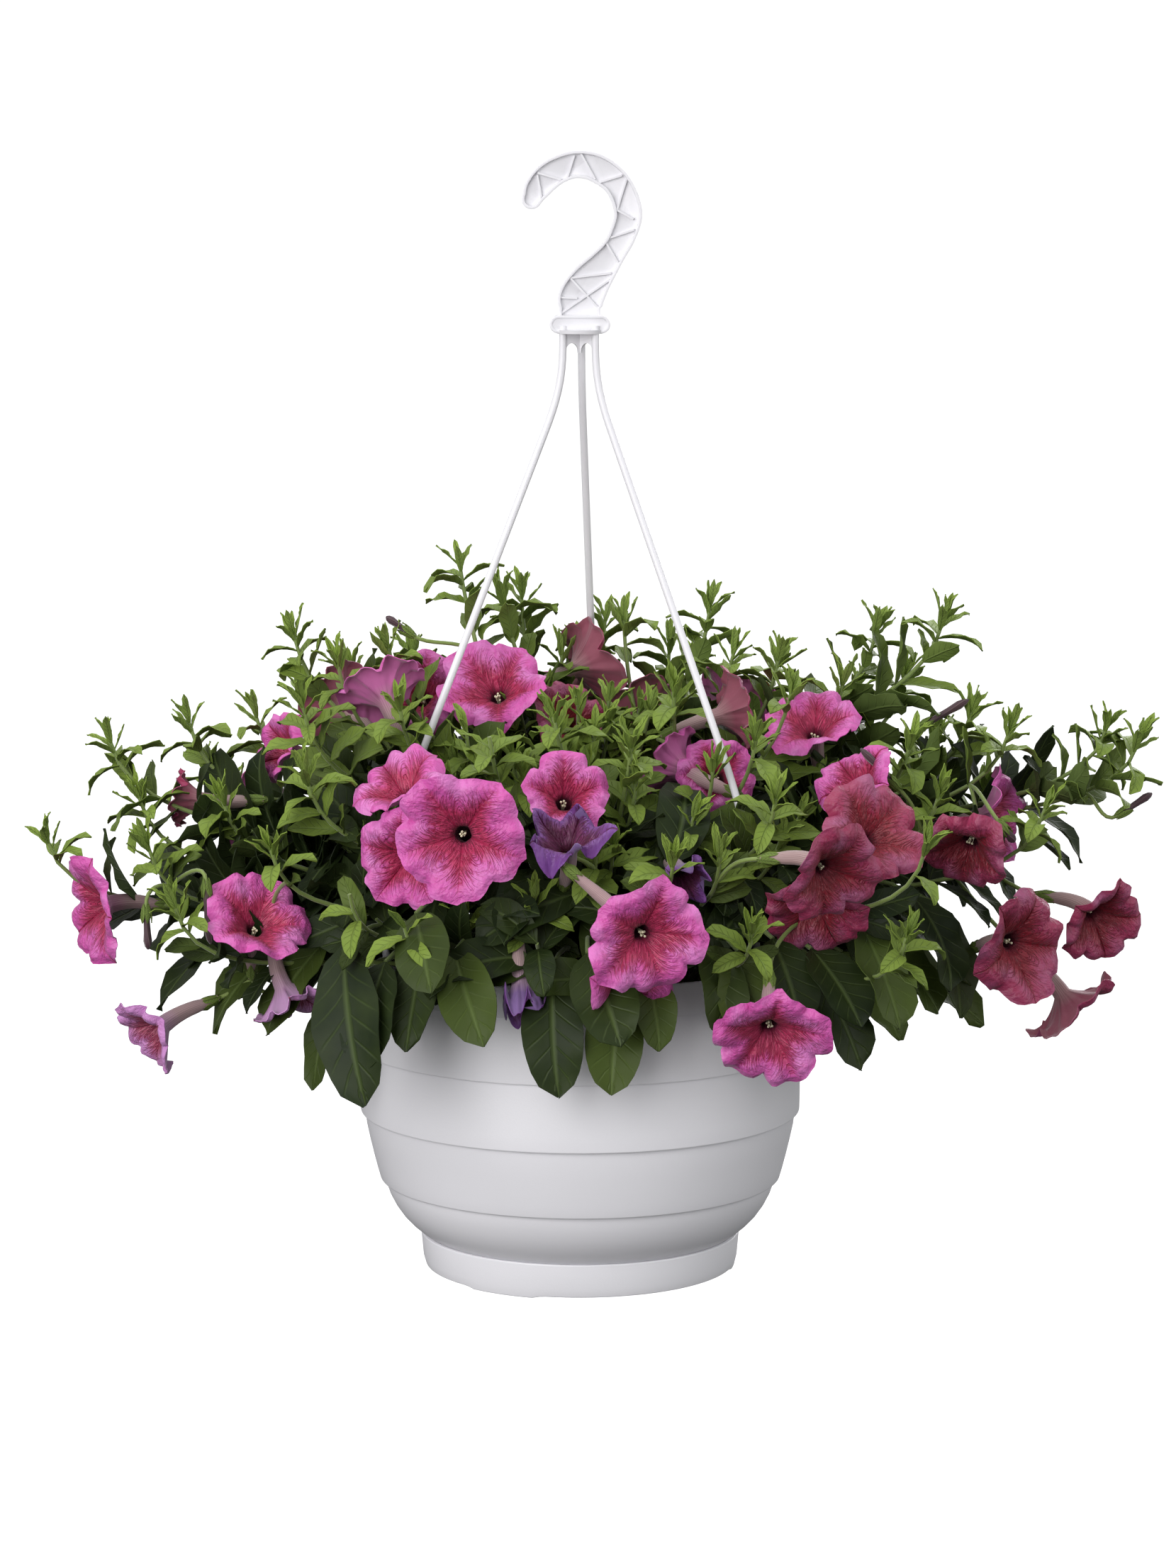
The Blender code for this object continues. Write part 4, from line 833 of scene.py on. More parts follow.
class BASKET_OT_hanger(bpy.types.Operator):
    """Model the ribbed hook, its boss and the three arms with their clip ends"""

    bl_idname = "basket.hanger"
    bl_label = "Hanger"

    def execute(self, context):
        sizes = context.scene.basket_hanger
        bm = plate(hook_outline(), sizes.hook_depth / MM, sizes.flange / MM, WEB_SINK)
        boss = plate(pill_outline(BOSS_HALF_WIDTH, BOSS_HEIGHT, BOSS_TOP - BOSS_HEIGHT / 2),
                     BOSS_DEPTH, BOSS_BORDER, BOSS_SINK)
        spare = bpy.data.meshes.new("boss")
        boss.to_mesh(spare)
        boss.free()
        bm.from_mesh(spare)
        bpy.data.meshes.remove(spare)
        for number, ends in enumerate(HOOK_RIBS):
            start, end = (Vector((x, 0.0, z)) for x, z in ends)
            run = end - start
            block(bm, (run.length, RIB_DEPTH - RIB_STEP * number, RIB_THICK),
                  start.lerp(end, 0.5) * MM, -math.atan2(run.z, run.x), "Y")
        foot = UP * (BOSS_TOP - BOSS_HEIGHT + BOSS_RING_LIFT) * MM
        round_block(bm, *BOSS_RING, foot, 40)
        for turn in ARM_ANGLES:
            points = arm_points(turn)
            radii = [sizes.arm_radius] * len(points) + [size * MM for _, size in CLIP]
            points += [points[-1] - UP * drop * MM for drop, _ in CLIP]
            rod(bm, points, radii, ARM_SIDES)
            round_block(bm, *BUTTON, round_at(turn, ARM_END, EAR_TOP + BUTTON_LIFT), 20)
            arch_web(bm, turn)
        bmesh.ops.recalc_face_normals(bm, faces=bm.faces)
        new_piece("ribbed_hanger", bm, ["plastic"], ["hanger"])
        return {"FINISHED"}


# ---- flowers ----
TUBE_LENGTH = 34.0
LONG_TUBES = {"front_middle": 58.0}
TUBE_FOOT, TUBE_WAIST, THROAT, THROAT_DEPTH = 1.8, 1.2, 4.4, 13.0
LIMB_SECTORS, FLOWER_ROWS, TUBE_ROWS = 75, 24, 8
# how often each wave runs round the limb, and its height or its share of the width
LIMB_WAVES = ((2, 3.6), (3, 2.6), (7, 1.1), (11, 0.8), (19, 0.4))
EDGE_WAVES = ((3, 0.022), (8, 0.014), (13, 0.013), (19, 0.008))
ANTHERS, ANTHER_RADIUS, FILAMENT_RADIUS, FILAMENT_DEPTH = 5, 0.75, 0.25, 14.0
# room that leaves leave round a flower: behind it, in front of it and of one kept clear, past
# its edge, and how far behind its middle the view from the front is kept open
ROOM_BEHIND, ROOM_BEFORE, ROOM_WIDE, ROOM_ASIDE, ROOM_LEVEL = 10.0, 12.0, 30.0, 3.0, 5.0
NET_SCALE = 16

# name, middle of the limb (right, back, height), azimuth and elevation it faces, width
# across, azimuth and elevation of its tube, colour, turn of its ribs about the throat, the
# shoot that carries it, and the share of its width kept clear of leaves from the front; the
# inner ones are small, peep out between the others and stand for no fixed node
FLOWERS = (
    ("front_left", (-61, -165, 260), (-8, 0), 66, (-8, 30), "pink", -90, "front_left", 0.47),
    ("front_left_behind", (-92, -124, 242), (-22, -8), 54, (-30, 25), "pink", 20, "front_left",
     0.3),
    ("left_shoulder", (-95, -100, 281), (-38, 52), 52, (-20, 55), "pink", 5, "left_front", 0),
    ("top_left", (-46, 0, 320), (-9, 42), 60, (-9, 60), "pink", -80, "top_left", 0.3),
    ("behind_left_arm", (-90, 26, 314), (-20, 35), 52, (-20, 60), "pink", 12, "top_left", 0),
    ("back_view_left", (-108, -14, 321), (-150, 45), 50, (-40, 60), "pink", 30, "top_left", 0),
    ("top_middle", (8, 62, 324), (120, 12), 54, (110, 25), "red", 40, "top_middle", 0),
    ("top_behind", (-4, 8, 300), (30, 25), 48, (20, 55), "red", 0, "top_middle", 0),
    ("front_middle", (35, -187, 211), (15, -8), 64, (76, -38), "pink", 75, "front", 0.47),
    ("front_under", (27, -154, 177), (28, -38), 54, (20, -35), "pink", 15, "front", 0.34),
    ("front_low", (97, -172, 156), (3, -30), 62, (-5, -50), "pink", 84, "front_right", 0.47),
    ("left_open", (-167, -95, 209), (22, 46), 58, (5, 60), "pink", 60, "left_front", 0.4),
    ("far_left", (-262, -50, 204), (-60, -10), 60, (-66, 12), "pink", 0, "far_left", 0.2),
    ("low_left", (-230, -75, 139), (-55, -30), 48, (-60, -15), "lilac", 30, "left_front", 0.4),
    ("left_side", (-217, -10, 258), (-96, 4), 31, (-94, -4), "red", 10, "far_left", 0),
    ("under_left", (-150, -90, 158), (60, -60), 44, (20, -75), "lilac", 0, "left_front", 0),
    ("middle", (-7, -112, 276), (6, 34), 49, (5, 60), "pink", 90, "front", 0.3),
    ("behind_right_arm", (87, 4, 304), (110, 10), 50, (100, 20), "red", 20, "middle_right", 0),
    ("right_top", (125, -14, 303), (-12, 56), 54, (-20, 65), "pink", 18, "middle_right", 0),
    ("right_turned", (46, -20, 280), (-125, 20), 46, (-110, 20), "pink", 50, "middle_right", 0),
    ("right_folded", (143, -66, 277), (-40, 40), 48, (-30, 60), "pink", 0, "right", 0),
    ("cluster_upper", (153, -117, 258), (28, 36), 60, (30, 50), "red", 36, "front_right", 0.22),
    ("cluster_front", (130, -162, 238), (38, -24), 60, (72, 4), "red", 60, "front_right", 0.34),
    ("cluster_lower", (120, -124, 212), (-10, -35), 56, (-20, 0), "red", 10, "front_right", 0),
    ("right_back_view", (230, -18, 252), (72, 12), 58, (70, 25), "pink", 25, "right", 0),
    ("right_dark", (200, -88, 238), (-26, -34), 54, (-8, 4), "red", 40, "right", 0.28),
    # right_front is a pinkish magenta flower; it takes the deeper red pink as painted shade
    ("right_front", (235, -77, 190), (38, 0), 64, (30, 20), "red", 62, "right", 0.46),
    ("far_right", (280, -42, 194), (30, -26), 50, (62, -6), "red", 5, "far_right", 0.4),
    ("low_right", (267, -30, 144), (75, -55), 56, (70, -40), "red", 50, "far_right", 0.4),
    ("back_left_top", (-133, 36, 304), (-150, 10), 50, (-140, 25), "red", 20, "left_high", 0),
    ("left_top", (-166, 6, 284), (-62, 18), 42, (-50, 45), "pink", 0, "left_high", 0),
    ("rear_left", (-190, 150, 226), (-130, 5), 60, (-130, 25), "pink", 20, "rear_left", 0),
    ("rear_low_left", (-92, 214, 222), (-155, -10), 62, (-150, 10), "pink", 70, "rear_left", 0),
    ("rear_top", (-8, 178, 288), (178, 30), 60, (170, 50), "pink", 10, "top_middle", 0),
    ("rear_low", (30, 226, 188), (170, -25), 58, (175, -5), "red", 35, "rear_right", 0),
    ("rear_right_low", (118, 200, 232), (150, 0), 62, (150, 25), "pink", 45, "rear_right", 0),
    ("rear_right", (196, 138, 222), (120, -5), 58, (125, 15), "red", 15, "rear_right", 0),
    ("rear_shoulder", (92, 128, 296), (150, 35), 56, (140, 50), "pink", 60, "rear_right", 0),
    ("wilted_middle", (-7, -142, 260), (-8, 60), 52, (10, 40), "violet", 0, "front", 0.44),
    ("wilted_low", (-29, -142, 168), (10, -65), 30, (10, -60), "violet", 40, "front_left", 0),
    ("inner_back", (33, 60, 297), (-150, 20), 50, (-160, 45), "red", 15, "top_middle", 0),
    ("inner_right", (73, -35, 276), (0, 24), 44, (10, 55), "pink", 40, "middle_right", 0.15),
    ("inner_low", (56, -122, 230), (20, -20), 30, (20, 10), "violet", 10, "front", 0.25),
)
SLOTS = {"pink": "petal_pink", "red": "petal_red_pink", "lilac": "petal_lilac",
         "violet": "petal_wilted"}


class Flower:
    """Where one flower sits: its calyx, its throat and the way its limb faces."""

    def __init__(self, name, place, face, across, tube, kind, turn, shoot, clear):
        self.name, self.across, self.kind, self.shoot = name, across, kind, shoot
        self.clear, self.turn = clear, math.radians(turn)
        self.limb, self.out, self.start = at(*place), facing(*face), facing(*tube)
        self.throat = self.limb - self.out * THROAT_DEPTH * MM
        self.tube = LONG_TUBES.get(name, TUBE_LENGTH) * MM
        self.seat = self.throat - (self.out + self.start).normalized() * self.tube * 0.5 \
            - self.start * self.tube * 0.5
        self.wilted = kind == "violet"
        self.dice = random.Random(name)

    def hides(self, point):
        """True where a leaf would stand before this flower's face or between it and the front."""
        ahead = (point - self.limb).dot(self.out)
        aside = (point - self.limb - self.out * ahead).length
        free = (ROOM_WIDE if self.clear else ROOM_BEFORE) * MM
        if -ROOM_BEHIND * MM < ahead < free and aside < (self.across * 0.5 + ROOM_ASIDE) * MM:
            return True
        near = self.limb.y - point.y
        level = math.hypot(point.x - self.limb.x, point.z - self.limb.z)
        return near > -ROOM_LEVEL * MM and level < self.across * self.clear * MM


ALL_FLOWERS = [Flower(*row) for row in FLOWERS]


def sideways(direction):
    """Two directions square to a direction: level to its right, and up."""
    right = direction.cross(UP)
    if right.length < 0.05:
        right = Vector((1, 0, 0))
    right = right.normalized() * -1
    return right, direction.cross(right).normalized()


def waved(waves, angle):
    """The sum of some waves (count round, phase, height) at an angle."""
    return sum(high * math.sin(count * angle + phase) for count, phase, high in waves)


def bloom(bm, flower, ruffle):
    """The trumpet of one flower as a thin rolled sheet: tube, throat, and five-lobed limb."""
    out_layer = bm.verts.layers.float.get("out")
    rib_layer = bm.verts.layers.float.get("rib")
    dice = flower.dice
    half = flower.across / 2 * (0.95 if flower.wilted else 1.0)
    waves = [(count, dice.uniform(0, math.tau), dice.uniform(0.6, 1.2) * size)
             for count, size in LIMB_WAVES]
    lobes = [dice.uniform(0.92, 1.04) for _ in range(5)]
    shoulders = [dice.uniform(0.01, 0.10) for _ in range(10)]
    edges = [(count, dice.uniform(0, math.tau), size) for count, size in EDGE_WAVES]
    curls = [dice.uniform(-8.0, 3.5) for _ in range(5)]
    tube = bezier(flower.seat, flower.seat + flower.start * flower.tube * 0.4,
                  flower.throat - flower.out * flower.tube * 0.4, flower.throat, TUBE_ROWS)
    turns = frames_along(tube)
    swing = turns[-1] @ UP
    turns = [swing.rotation_difference(flower.out) @ turn for turn in turns]
    right, up = sideways(flower.out)
    limb_turn = Matrix((right, up, flower.out)).transposed().to_quaternion()
    offset = (turns[-1].inverted() @ limb_turn).to_euler("XYZ").z

    def place(turn, share, corner):
        row = round(share * FLOWER_ROWS)
        angle = turn * math.tau
        rib_place = (angle - flower.turn) / math.tau * 5
        lobe = math.floor(rib_place + 0.5)
        rib = corner[rib_layer] = abs(rib_place - lobe) * 2
        if row <= TUBE_ROWS:
            grown = row / TUBE_ROWS
            corner[out_layer] = grown - 1.0
            radius = TUBE_FOOT + TUBE_WAIST * smooth(grown, 0.05, 0.4) \
                + (THROAT - TUBE_FOOT - TUBE_WAIST) * grown ** 2.2
            radius *= 1.0 + 0.05 * math.cos(5 * (angle - flower.turn)) * grown
            return tube[row] + turns[row] @ (ring(angle + offset, radius) * MM)
        grown = corner[out_layer] = (row - TUBE_ROWS) / (FLOWER_ROWS - TUBE_ROWS)
        shoulder = shoulders[math.floor(rib_place * 2) % 10]
        edge = half * lobes[lobe % 5] * (0.92 + 0.13 * math.exp(-rib / 0.15)
                                         + shoulder * math.sin(math.pi * rib) - 0.08 * rib ** 9)
        edge *= 1.0 + waved(edges, angle)
        radius = THROAT + (edge - THROAT) * grown ** 0.94
        rise = THROAT_DEPTH * (1.0 - (1.0 - grown) ** 2.3)
        rise += waved(waves, angle) * ruffle * grown ** 2.4 * half / 30
        rise += curls[lobe % 5] * (1 - rib ** 2) * grown ** 3 * half / 30
        rise -= 1.8 * math.exp(-(rib / 0.16) ** 2) * math.sin(math.pi * min(grown * 0.95, 1.0))
        fold = 2.2 * math.sin(math.pi * rib) - 3.0 * smooth(rib, 0.7, 1.0)
        rise += fold * grown ** 2.0 * ruffle - 2.0 * smooth(grown, 0.8, 1.0)
        if flower.wilted:
            inward = smooth(grown, 0.45, 1.0)
            rise += 7.0 * inward * math.sin(5 * angle + waves[0][1])
            radius *= 1.0 - 0.35 * inward * (0.5 + 0.5 * math.sin(3 * angle + waves[1][1]))
        return flower.throat + limb_turn @ (ring(angle, radius) * MM) + flower.out * rise * MM

    rolled(bm, LIMB_SECTORS, FLOWER_ROWS, place)


def disc_map(bm, faces, flower):
    """A second map of the limb seen from in front, for the net of veins."""
    disc = bm.loops.layers.uv.get("disc")
    right, up = sideways(flower.out)
    shift = flower.dice.uniform(0.0, 5.0)
    for face in faces:
        for loop in face.loops:
            away = loop.vert.co - flower.throat
            loop[disc].uv = (away.dot(right) * NET_SCALE + shift, away.dot(up) * NET_SCALE + shift)


def stamens(bm, flower):
    """Five cream anthers round a stigma, just inside the throat."""
    right, up = sideways(flower.out)
    for number in range(ANTHERS + 1):
        turn = math.tau * number / ANTHERS + 0.4
        spread = 0.0 if number == ANTHERS else flower.dice.uniform(0.8, 1.7)
        height = flower.dice.uniform(-2.5, 1.2)
        head = flower.throat + (right * math.cos(turn) + up * math.sin(turn)) * spread * MM \
            + flower.out * height * MM
        foot = flower.throat - flower.out * FILAMENT_DEPTH * MM
        rod(bm, [foot, head], [FILAMENT_RADIUS * MM] * 2, 5, cover=2)
        ball = bmesh.ops.create_icosphere(bm, subdivisions=1, radius=ANTHER_RADIUS * MM,
                                          matrix=Matrix.Translation(head))["verts"]
        for face in {face for corner in ball for face in corner.link_faces}:
            face.material_index = 2


class BASKET_OT_flowers(bpy.types.Operator):
    """Roll each petunia trumpet from a sheet, ruffle its five lobes and thicken it"""

    bl_idname = "basket.flowers"
    bl_label = "Flowers"

    def execute(self, context):
        looks = context.scene.basket_flowers
        for flower in ALL_FLOWERS:
            bm = bmesh.new()
            for layer in ("out", "rib"):
                bm.verts.layers.float.new(layer)
            for layer in ("UVMap", "disc"):
                bm.loops.layers.uv.new(layer)
            bloom(bm, flower, looks.ruffle)
            sheet = bm.faces[:]
            bmesh.ops.recalc_face_normals(bm, faces=sheet)
            probe = max(sheet, key=lambda face: (face.calc_center_median() - flower.seat).length)
            if probe.normal.dot(flower.out) < 0:
                bmesh.ops.reverse_faces(bm, faces=sheet)
            disc_map(bm, sheet, flower)
            thicken(bm, sheet, looks.thickness)
            if not flower.wilted:
                stamens(bm, flower)
            kind = flower.kind
            fixed = [] if flower.name.startswith("inner") else ["flower_" + flower.name]
            new_piece("bloom_" + flower.name, bm, [kind, kind + " back", "pollen"],
                      fixed, angle=75.0)
        return {"FINISHED"}


# ---- leaves and stems ----
SOIL_ROOT = SOIL_TOP - 4
ARC_POINTS, STALK_POINTS = 14, 8
# a stem's curve: the share of its run that it leans out by at first, its least rise and the
# share of it that is steep, and the share of the run, and the most of it, that turns up
STEM_LEAN, LEAST_RISE, STEEP_SHARE, TURN_SHARE, LONGEST_TURN = 0.12, 45.0, 0.8, 0.38, 65.0
# tip leaves: how far down they start, how many, the share of broad ones below the narrow ones
TUFT_DEPTH, TUFT_LEAVES, BROAD_SHARE = 17.0, 11, 0.35
# leaves down a stem: distance of the first from the tip, and between pairs
FIRST_LEAF, LEAF_GAP, PAIR_GAP = 24.0, 17.0, 3.0
SEPAL_LENGTH, SEPAL_WIDTH = 13.0, 3.6
BUD_STATIONS = ((0, 0.7), (0.15, 0.8), (0.35, 0.72), (0.6, 0.82), (0.8, 1.0), (0.93, 0.7),
                (1.0, 0.2))
# short side shoots between the long ones: how many, below which height they are old leaves
# only, the length of those, and the dome they fill (half width, half depth, foot, height)
FILL_STEMS, LOW_CROWN, CROWN_LEAF, CROWN_LEAVES = 132, 246.0, 56.0, 4
DOME = (196.0, 172.0, 196.0, 118.0)
# where leaves end: their height, how far past the box, and above and outside the pot's rim
HIGHEST_LEAF, PAST_BOX, ABOVE_RIM, OUTSIDE_RIM = 392.0, 4.0, 4.0, 6.0

# shoot: its root on the soil (right, back), the tips it reaches, the big leaves that it hangs
# over the rim (foot of the blade, its tip, width) and its closed buds (foot, tip, thickness)
SHOOTS = {
    "far_left": {
        "root": (-84, -14),
        "tips": ((-284, -40, 240), (-252, -20, 291), (-213, 18, 296), (-227, -72, 241),
                 (-236, -30, 262), (-190, -44, 262)),
        "rim": (((-146, -36, 192), (-192, -60, 139), 28),
                ((-160, -14, 200), (-224, -46, 152), 24),
                ((-140, -30, 206), (-182, -42, 164), 28)),
        "buds": (((-228, -78, 210), (-227, -80, 188), 4.8),
                 ((-195, -92, 226), (-193, -92, 193), 6.0)),
    },
    "left_high": {
        "root": (-72, 12),
        "tips": ((-156, 22, 344), (-146, -60, 315), (-130, -16, 332), (-178, 30, 300)),
        "rim": (),
        "buds": (),
    },
    "left_front": {
        "root": (-66, -46),
        "tips": ((-143, -92, 283), (-211, -98, 214), (-160, -110, 246), (-118, -132, 226)),
        "rim": (((-122, -122, 198), (-96, -152, 124), 38),
                ((-100, -128, 190), (-104, -150, 136), 30),
                ((-128, -70, 168), (-126, -76, 112), 20),
                ((-134, -76, 192), (-156, -92, 142), 28)),
        "buds": (),
    },
    "top_left": {
        "root": (-44, 6),
        "tips": ((-66, 32, 384), (-95, -62, 315), (-104, 6, 338), (-60, -50, 300)),
        "rim": (),
        "buds": (((-91, 10, 345), (-105, 10, 355), 4.6),),
    },
    "top_middle": {
        "root": (-16, 32),
        "tips": ((-43, 42, 363), (-33, 90, 360), (14, 112, 343), (-10, 60, 330)),
        "rim": (),
        "buds": (),
    },
    "top_right": {
        "root": (34, 22),
        "tips": ((24, 62, 348), (72, 72, 354), (84, 36, 332), (50, 96, 330)),
        "rim": (),
        "buds": (),
    },
    "middle_right": {
        "root": (52, -12),
        "tips": ((108, 22, 331), (50, -22, 318), (93, -62, 298), (113, -24, 318),
                 (70, -70, 282)),
        "rim": (((120, -84, 186), (132, -96, 124), 32), ((138, -76, 186), (156, -84, 136), 30)),
        "buds": (),
    },
    "right_high": {
        "root": (76, 20),
        "tips": ((164, 52, 345), (198, 22, 353), (143, 12, 319), (180, 60, 318)),
        "rim": (),
        "buds": (),
    },
    "right": {
        "root": (86, -18),
        "tips": ((212, 4, 304), (230, -24, 297), (247, -48, 258), (176, -40, 292),
                 (190, -60, 268)),
        "rim": (((140, -44, 190), (206, -34, 132), 34), ((150, -62, 196), (182, -78, 150), 32),
                ((168, -46, 206), (196, -62, 160), 26), ((176, -60, 214), (190, -86, 166), 32),
                ((188, -48, 208), (187, -68, 150), 36)),
        "buds": (((184, 0, 296), (210, 0, 311), 4.8), ((168, -60, 271), (148, -60, 292), 4.4),
                 ((222, -58, 252), (230, -60, 242), 5.0)),
    },
    "far_right": {
        "root": (78, 52),
        "tips": ((284, -6, 296), (301, -12, 290), (222, 40, 256), (196, 60, 282)),
        "rim": (((142, 34, 190), (190, 44, 136), 32), ((136, 60, 196), (172, 84, 150), 32),
                ((150, 8, 194), (196, 12, 140), 30)),
        "buds": (((290, -15, 250), (308, -15, 262), 4.4),),
    },
    "front_right": {
        "root": (58, -50),
        "tips": ((176, -150, 253), (101, -115, 273), (88, -150, 210), (168, -140, 206),
                 (72, -130, 246)),
        "rim": (((82, -120, 194), (75, -138, 150), 28),
                ((120, -112, 194), (137, -134, 154), 32),
                ((146, -98, 206), (151, -124, 152), 32),
                ((100, -116, 200), (104, -138, 158), 30)),
        "buds": (),
    },
    "front": {
        "root": (10, -64),
        "tips": ((27, -92, 298), (-14, -70, 310), (8, -120, 250), (48, -140, 244)),
        "rim": (((-14, -134, 186), (-13, -146, 124), 32), ((4, -136, 196), (22, -160, 150), 34),
                ((20, -132, 176), (12, -146, 125), 30), ((34, -132, 186), (42, -146, 146), 22)),
        "buds": (),
    },
    "front_left": {
        "root": (-30, -66),
        "tips": ((-47, -90, 302), (-60, -118, 214), (-90, -146, 214), (-24, -128, 222)),
        "rim": (((-82, -124, 194), (-77, -144, 146), 25),
                ((-64, -130, 196), (-44, -152, 150), 30),
                ((-84, -132, 216), (-66, -162, 180), 30)),
        "buds": (),
    },
    "rear_left": {
        "root": (-60, 56),
        "tips": ((-214, 110, 262), (-160, 158, 296), (-200, 176, 240), (-100, 196, 316),
                 (-112, 230, 262), (-130, 110, 318)),
        "rim": (((-130, 60, 190), (-170, 84, 134), 34), ((-98, 110, 190), (-122, 142, 128), 34),
                ((-44, 138, 190), (-50, 162, 124), 32), ((-150, 20, 196), (-186, 34, 142), 30),
                ((-116, 88, 200), (-150, 120, 160), 32),
                ((-70, 128, 200), (-92, 160, 156), 32)),
        "buds": (((-150, 176, 268), (-172, 190, 272), 4.6),),
    },
    "rear_right": {
        "root": (40, 70),
        "tips": ((64, 204, 312), (22, 240, 262), (160, 160, 300), (206, 120, 256),
                 (186, 196, 240), (112, 120, 318), (0, 150, 326)),
        "rim": (((14, 140, 190), (18, 160, 122), 32), ((76, 124, 190), (92, 150, 128), 34),
                ((124, 80, 190), (156, 104, 132), 34), ((-16, 142, 196), (-16, 168, 150), 32),
                ((46, 138, 198), (56, 164, 148), 32), ((104, 106, 198), (128, 134, 154), 34)),
        "buds": (((150, 176, 262), (166, 192, 274), 4.6),
                 ((40, 214, 250), (46, 230, 268), 4.4)),
    },
}


class Shoot:
    """One leafy shoot being grown: its mesh, its layers and its own run of chance."""

    def __init__(self, name):
        self.name = name
        self.bm = bmesh.new()
        self.bm.loops.layers.uv.new("UVMap")
        self.age = self.bm.verts.layers.float.new("age")
        self.dice = random.Random("shoot " + name)
        self.turn = self.dice.uniform(0, math.tau)
        looks = bpy.context.scene.basket_leaves
        self.thickness = looks.thickness
        self.biggest, self.smallest = looks.biggest / MM, looks.smallest / MM
        self.start = at(*SHOOTS[name]["root"], SOIL_ROOT)
        self.stems = []

    def stem(self, points, thick, thin, age, sides=7):
        """A stem that grows thinner along its points."""
        count = len(points) - 1
        radii = [(thick + (thin - thick) * index / count) * MM for index in range(count + 1)]
        rod(self.bm, points, radii, sides, self.age, age, cover=2)

    def spoke(self, along):
        """The next direction square to a stem, a golden angle on from the last."""
        self.turn += GOLDEN_ANGLE
        return square_to(along, self.turn)

    def leaf(self, foot, along, face, size, width, age, droop=0.5, fold=0.25, slim=0.0,
             grid=(4, 8)):
        """One leaf blade from its foot; slim 0 is an egg shape and 1 a narrow spear."""
        columns, rows = grid
        dice = self.dice
        side = along.cross(face)
        if side.length < 0.05:
            side = along.cross(Vector((0.3, 0.2, 1.0)))
        side = side.normalized()
        up = side.cross(along).normalized()
        swing, phase = dice.uniform(-0.25, 0.25), dice.uniform(0, math.tau)
        ripple = dice.uniform(0.6, 1.3) * 0.035
        rise, peak = 0.62 + 0.25 * slim, 0.60 + 0.15 * slim
        top = (rise / (rise + peak)) ** rise * (peak / (rise + peak)) ** peak
        spine, point, angle, yaw = [], foot.copy(), 0.0, 0.0
        for row in range(rows + 1):
            way = along * math.cos(angle) - up * math.sin(angle)
            way = way * math.cos(yaw) + side * math.sin(yaw)
            spine.append((point.copy(), side.cross(way).normalized()))
            point = point + way * size / rows * MM
            angle += droop / rows * 1.6 * ((row + 1) / rows) ** 0.5
            yaw += swing / rows
        grown = bmesh.ops.create_grid(self.bm, x_segments=columns, y_segments=rows, size=1.0,
                                      calc_uvs=True)["verts"]
        for corner in grown:
            across, share = corner.co.x, (corner.co.y + 1) / 2
            centre, normal = spine[round(share * rows)]
            reach = max(share ** rise * (1 - share) ** peak / top, 0.05 - 0.03 * share)
            reach *= width / 2
            lift = fold * abs(across) ** 1.4 * reach
            lift += ripple * size * math.sin(share * 13.0 + phase + across) * abs(across) ** 2 \
                * smooth(share, 0.1, 0.4)
            corner.co = centre + side * across * reach * MM + normal * lift * MM
            corner[self.age] = age

    def tuft(self, points, size=1.0, count=TUFT_LEAVES):
        """The tip of a shoot: narrow upright leaves, and a few broader ones curling below."""
        dice = self.dice
        for number in range(count):
            share = number / (count - 1)
            broad = share < BROAD_SHARE
            foot, along = below_tip(points, TUFT_DEPTH * size * (1 - share) ** 1.6)
            side = self.spoke(along)
            lean = math.radians((66 if broad else 62 - 50 * share) + dice.uniform(-9, 9))
            way = (along * math.cos(lean) + side * math.sin(lean)).normalized()
            leaf = (27.0 if broad else 22.0 - 6.0 * share) * size * dice.uniform(0.8, 1.15)
            if open_way(foot + way * leaf * 0.7 * MM):
                self.leaf(foot, way, along, leaf, leaf * (0.36 if broad else 0.23),
                          0.30 * (1 - share) + dice.uniform(0, 0.10),
                          droop=dice.uniform(0.8, 1.5) if broad else dice.uniform(-0.3, 0.7),
                          fold=0.4, slim=0.4 if broad else 0.9, grid=(2, 7))

    def leaves_along(self, points, base=0.25, gap=LEAF_GAP):
        """Pairs of leaves up a stem to its tuft, larger and older towards the foot."""
        whole = sum((b - a).length for a, b in zip(points, points[1:])) / MM
        down = FIRST_LEAF
        while down < whole * (1.0 - base):
            self.turn += GOLDEN_ANGLE
            for half in range(2):
                self.one_leaf(points, down + half * PAIR_GAP, self.turn + half * math.pi * 0.9)
            down += gap * self.dice.uniform(0.7, 1.2)

    def one_leaf(self, points, down, turn):
        """A leaf on a stem a distance below its tip, where there is room for one."""
        foot, along = below_tip(points, down)
        grown = smooth(down, 10.0, 110.0)
        size = self.smallest + (self.biggest - self.smallest) * grown
        size *= self.dice.uniform(0.72, 1.2)
        way = along * self.dice.uniform(0.35, 1.2) + square_to(along, turn) + UP * 0.1
        way = way.normalized()
        if foot.z < at(0, 0, SOIL_TOP + 20).z or not self.room(foot, way, size):
            return
        # painted shade: the age number rises for leaves low in the crown, so they take the dark
        # mature green as if in shadow
        age = 0.22 + 0.75 * grown + 0.45 * shaded(foot) + self.dice.uniform(-0.12, 0.12)
        self.leaf(foot, way, (along * 0.6 + sunward(foot)).normalized(), size,
                  size * self.dice.uniform(0.34, 0.42 + 0.08 * grown), min(max(age, 0.1), 1.0),
                  droop=self.dice.uniform(0.0, 1.0), fold=0.28, slim=0.3 * (1 - grown))

    def room(self, foot, way, size):
        """True where the middle and the end of a leaf both stand in open air."""
        return all(open_way(foot + way * size * share * MM) for share in (0.55, 0.9))

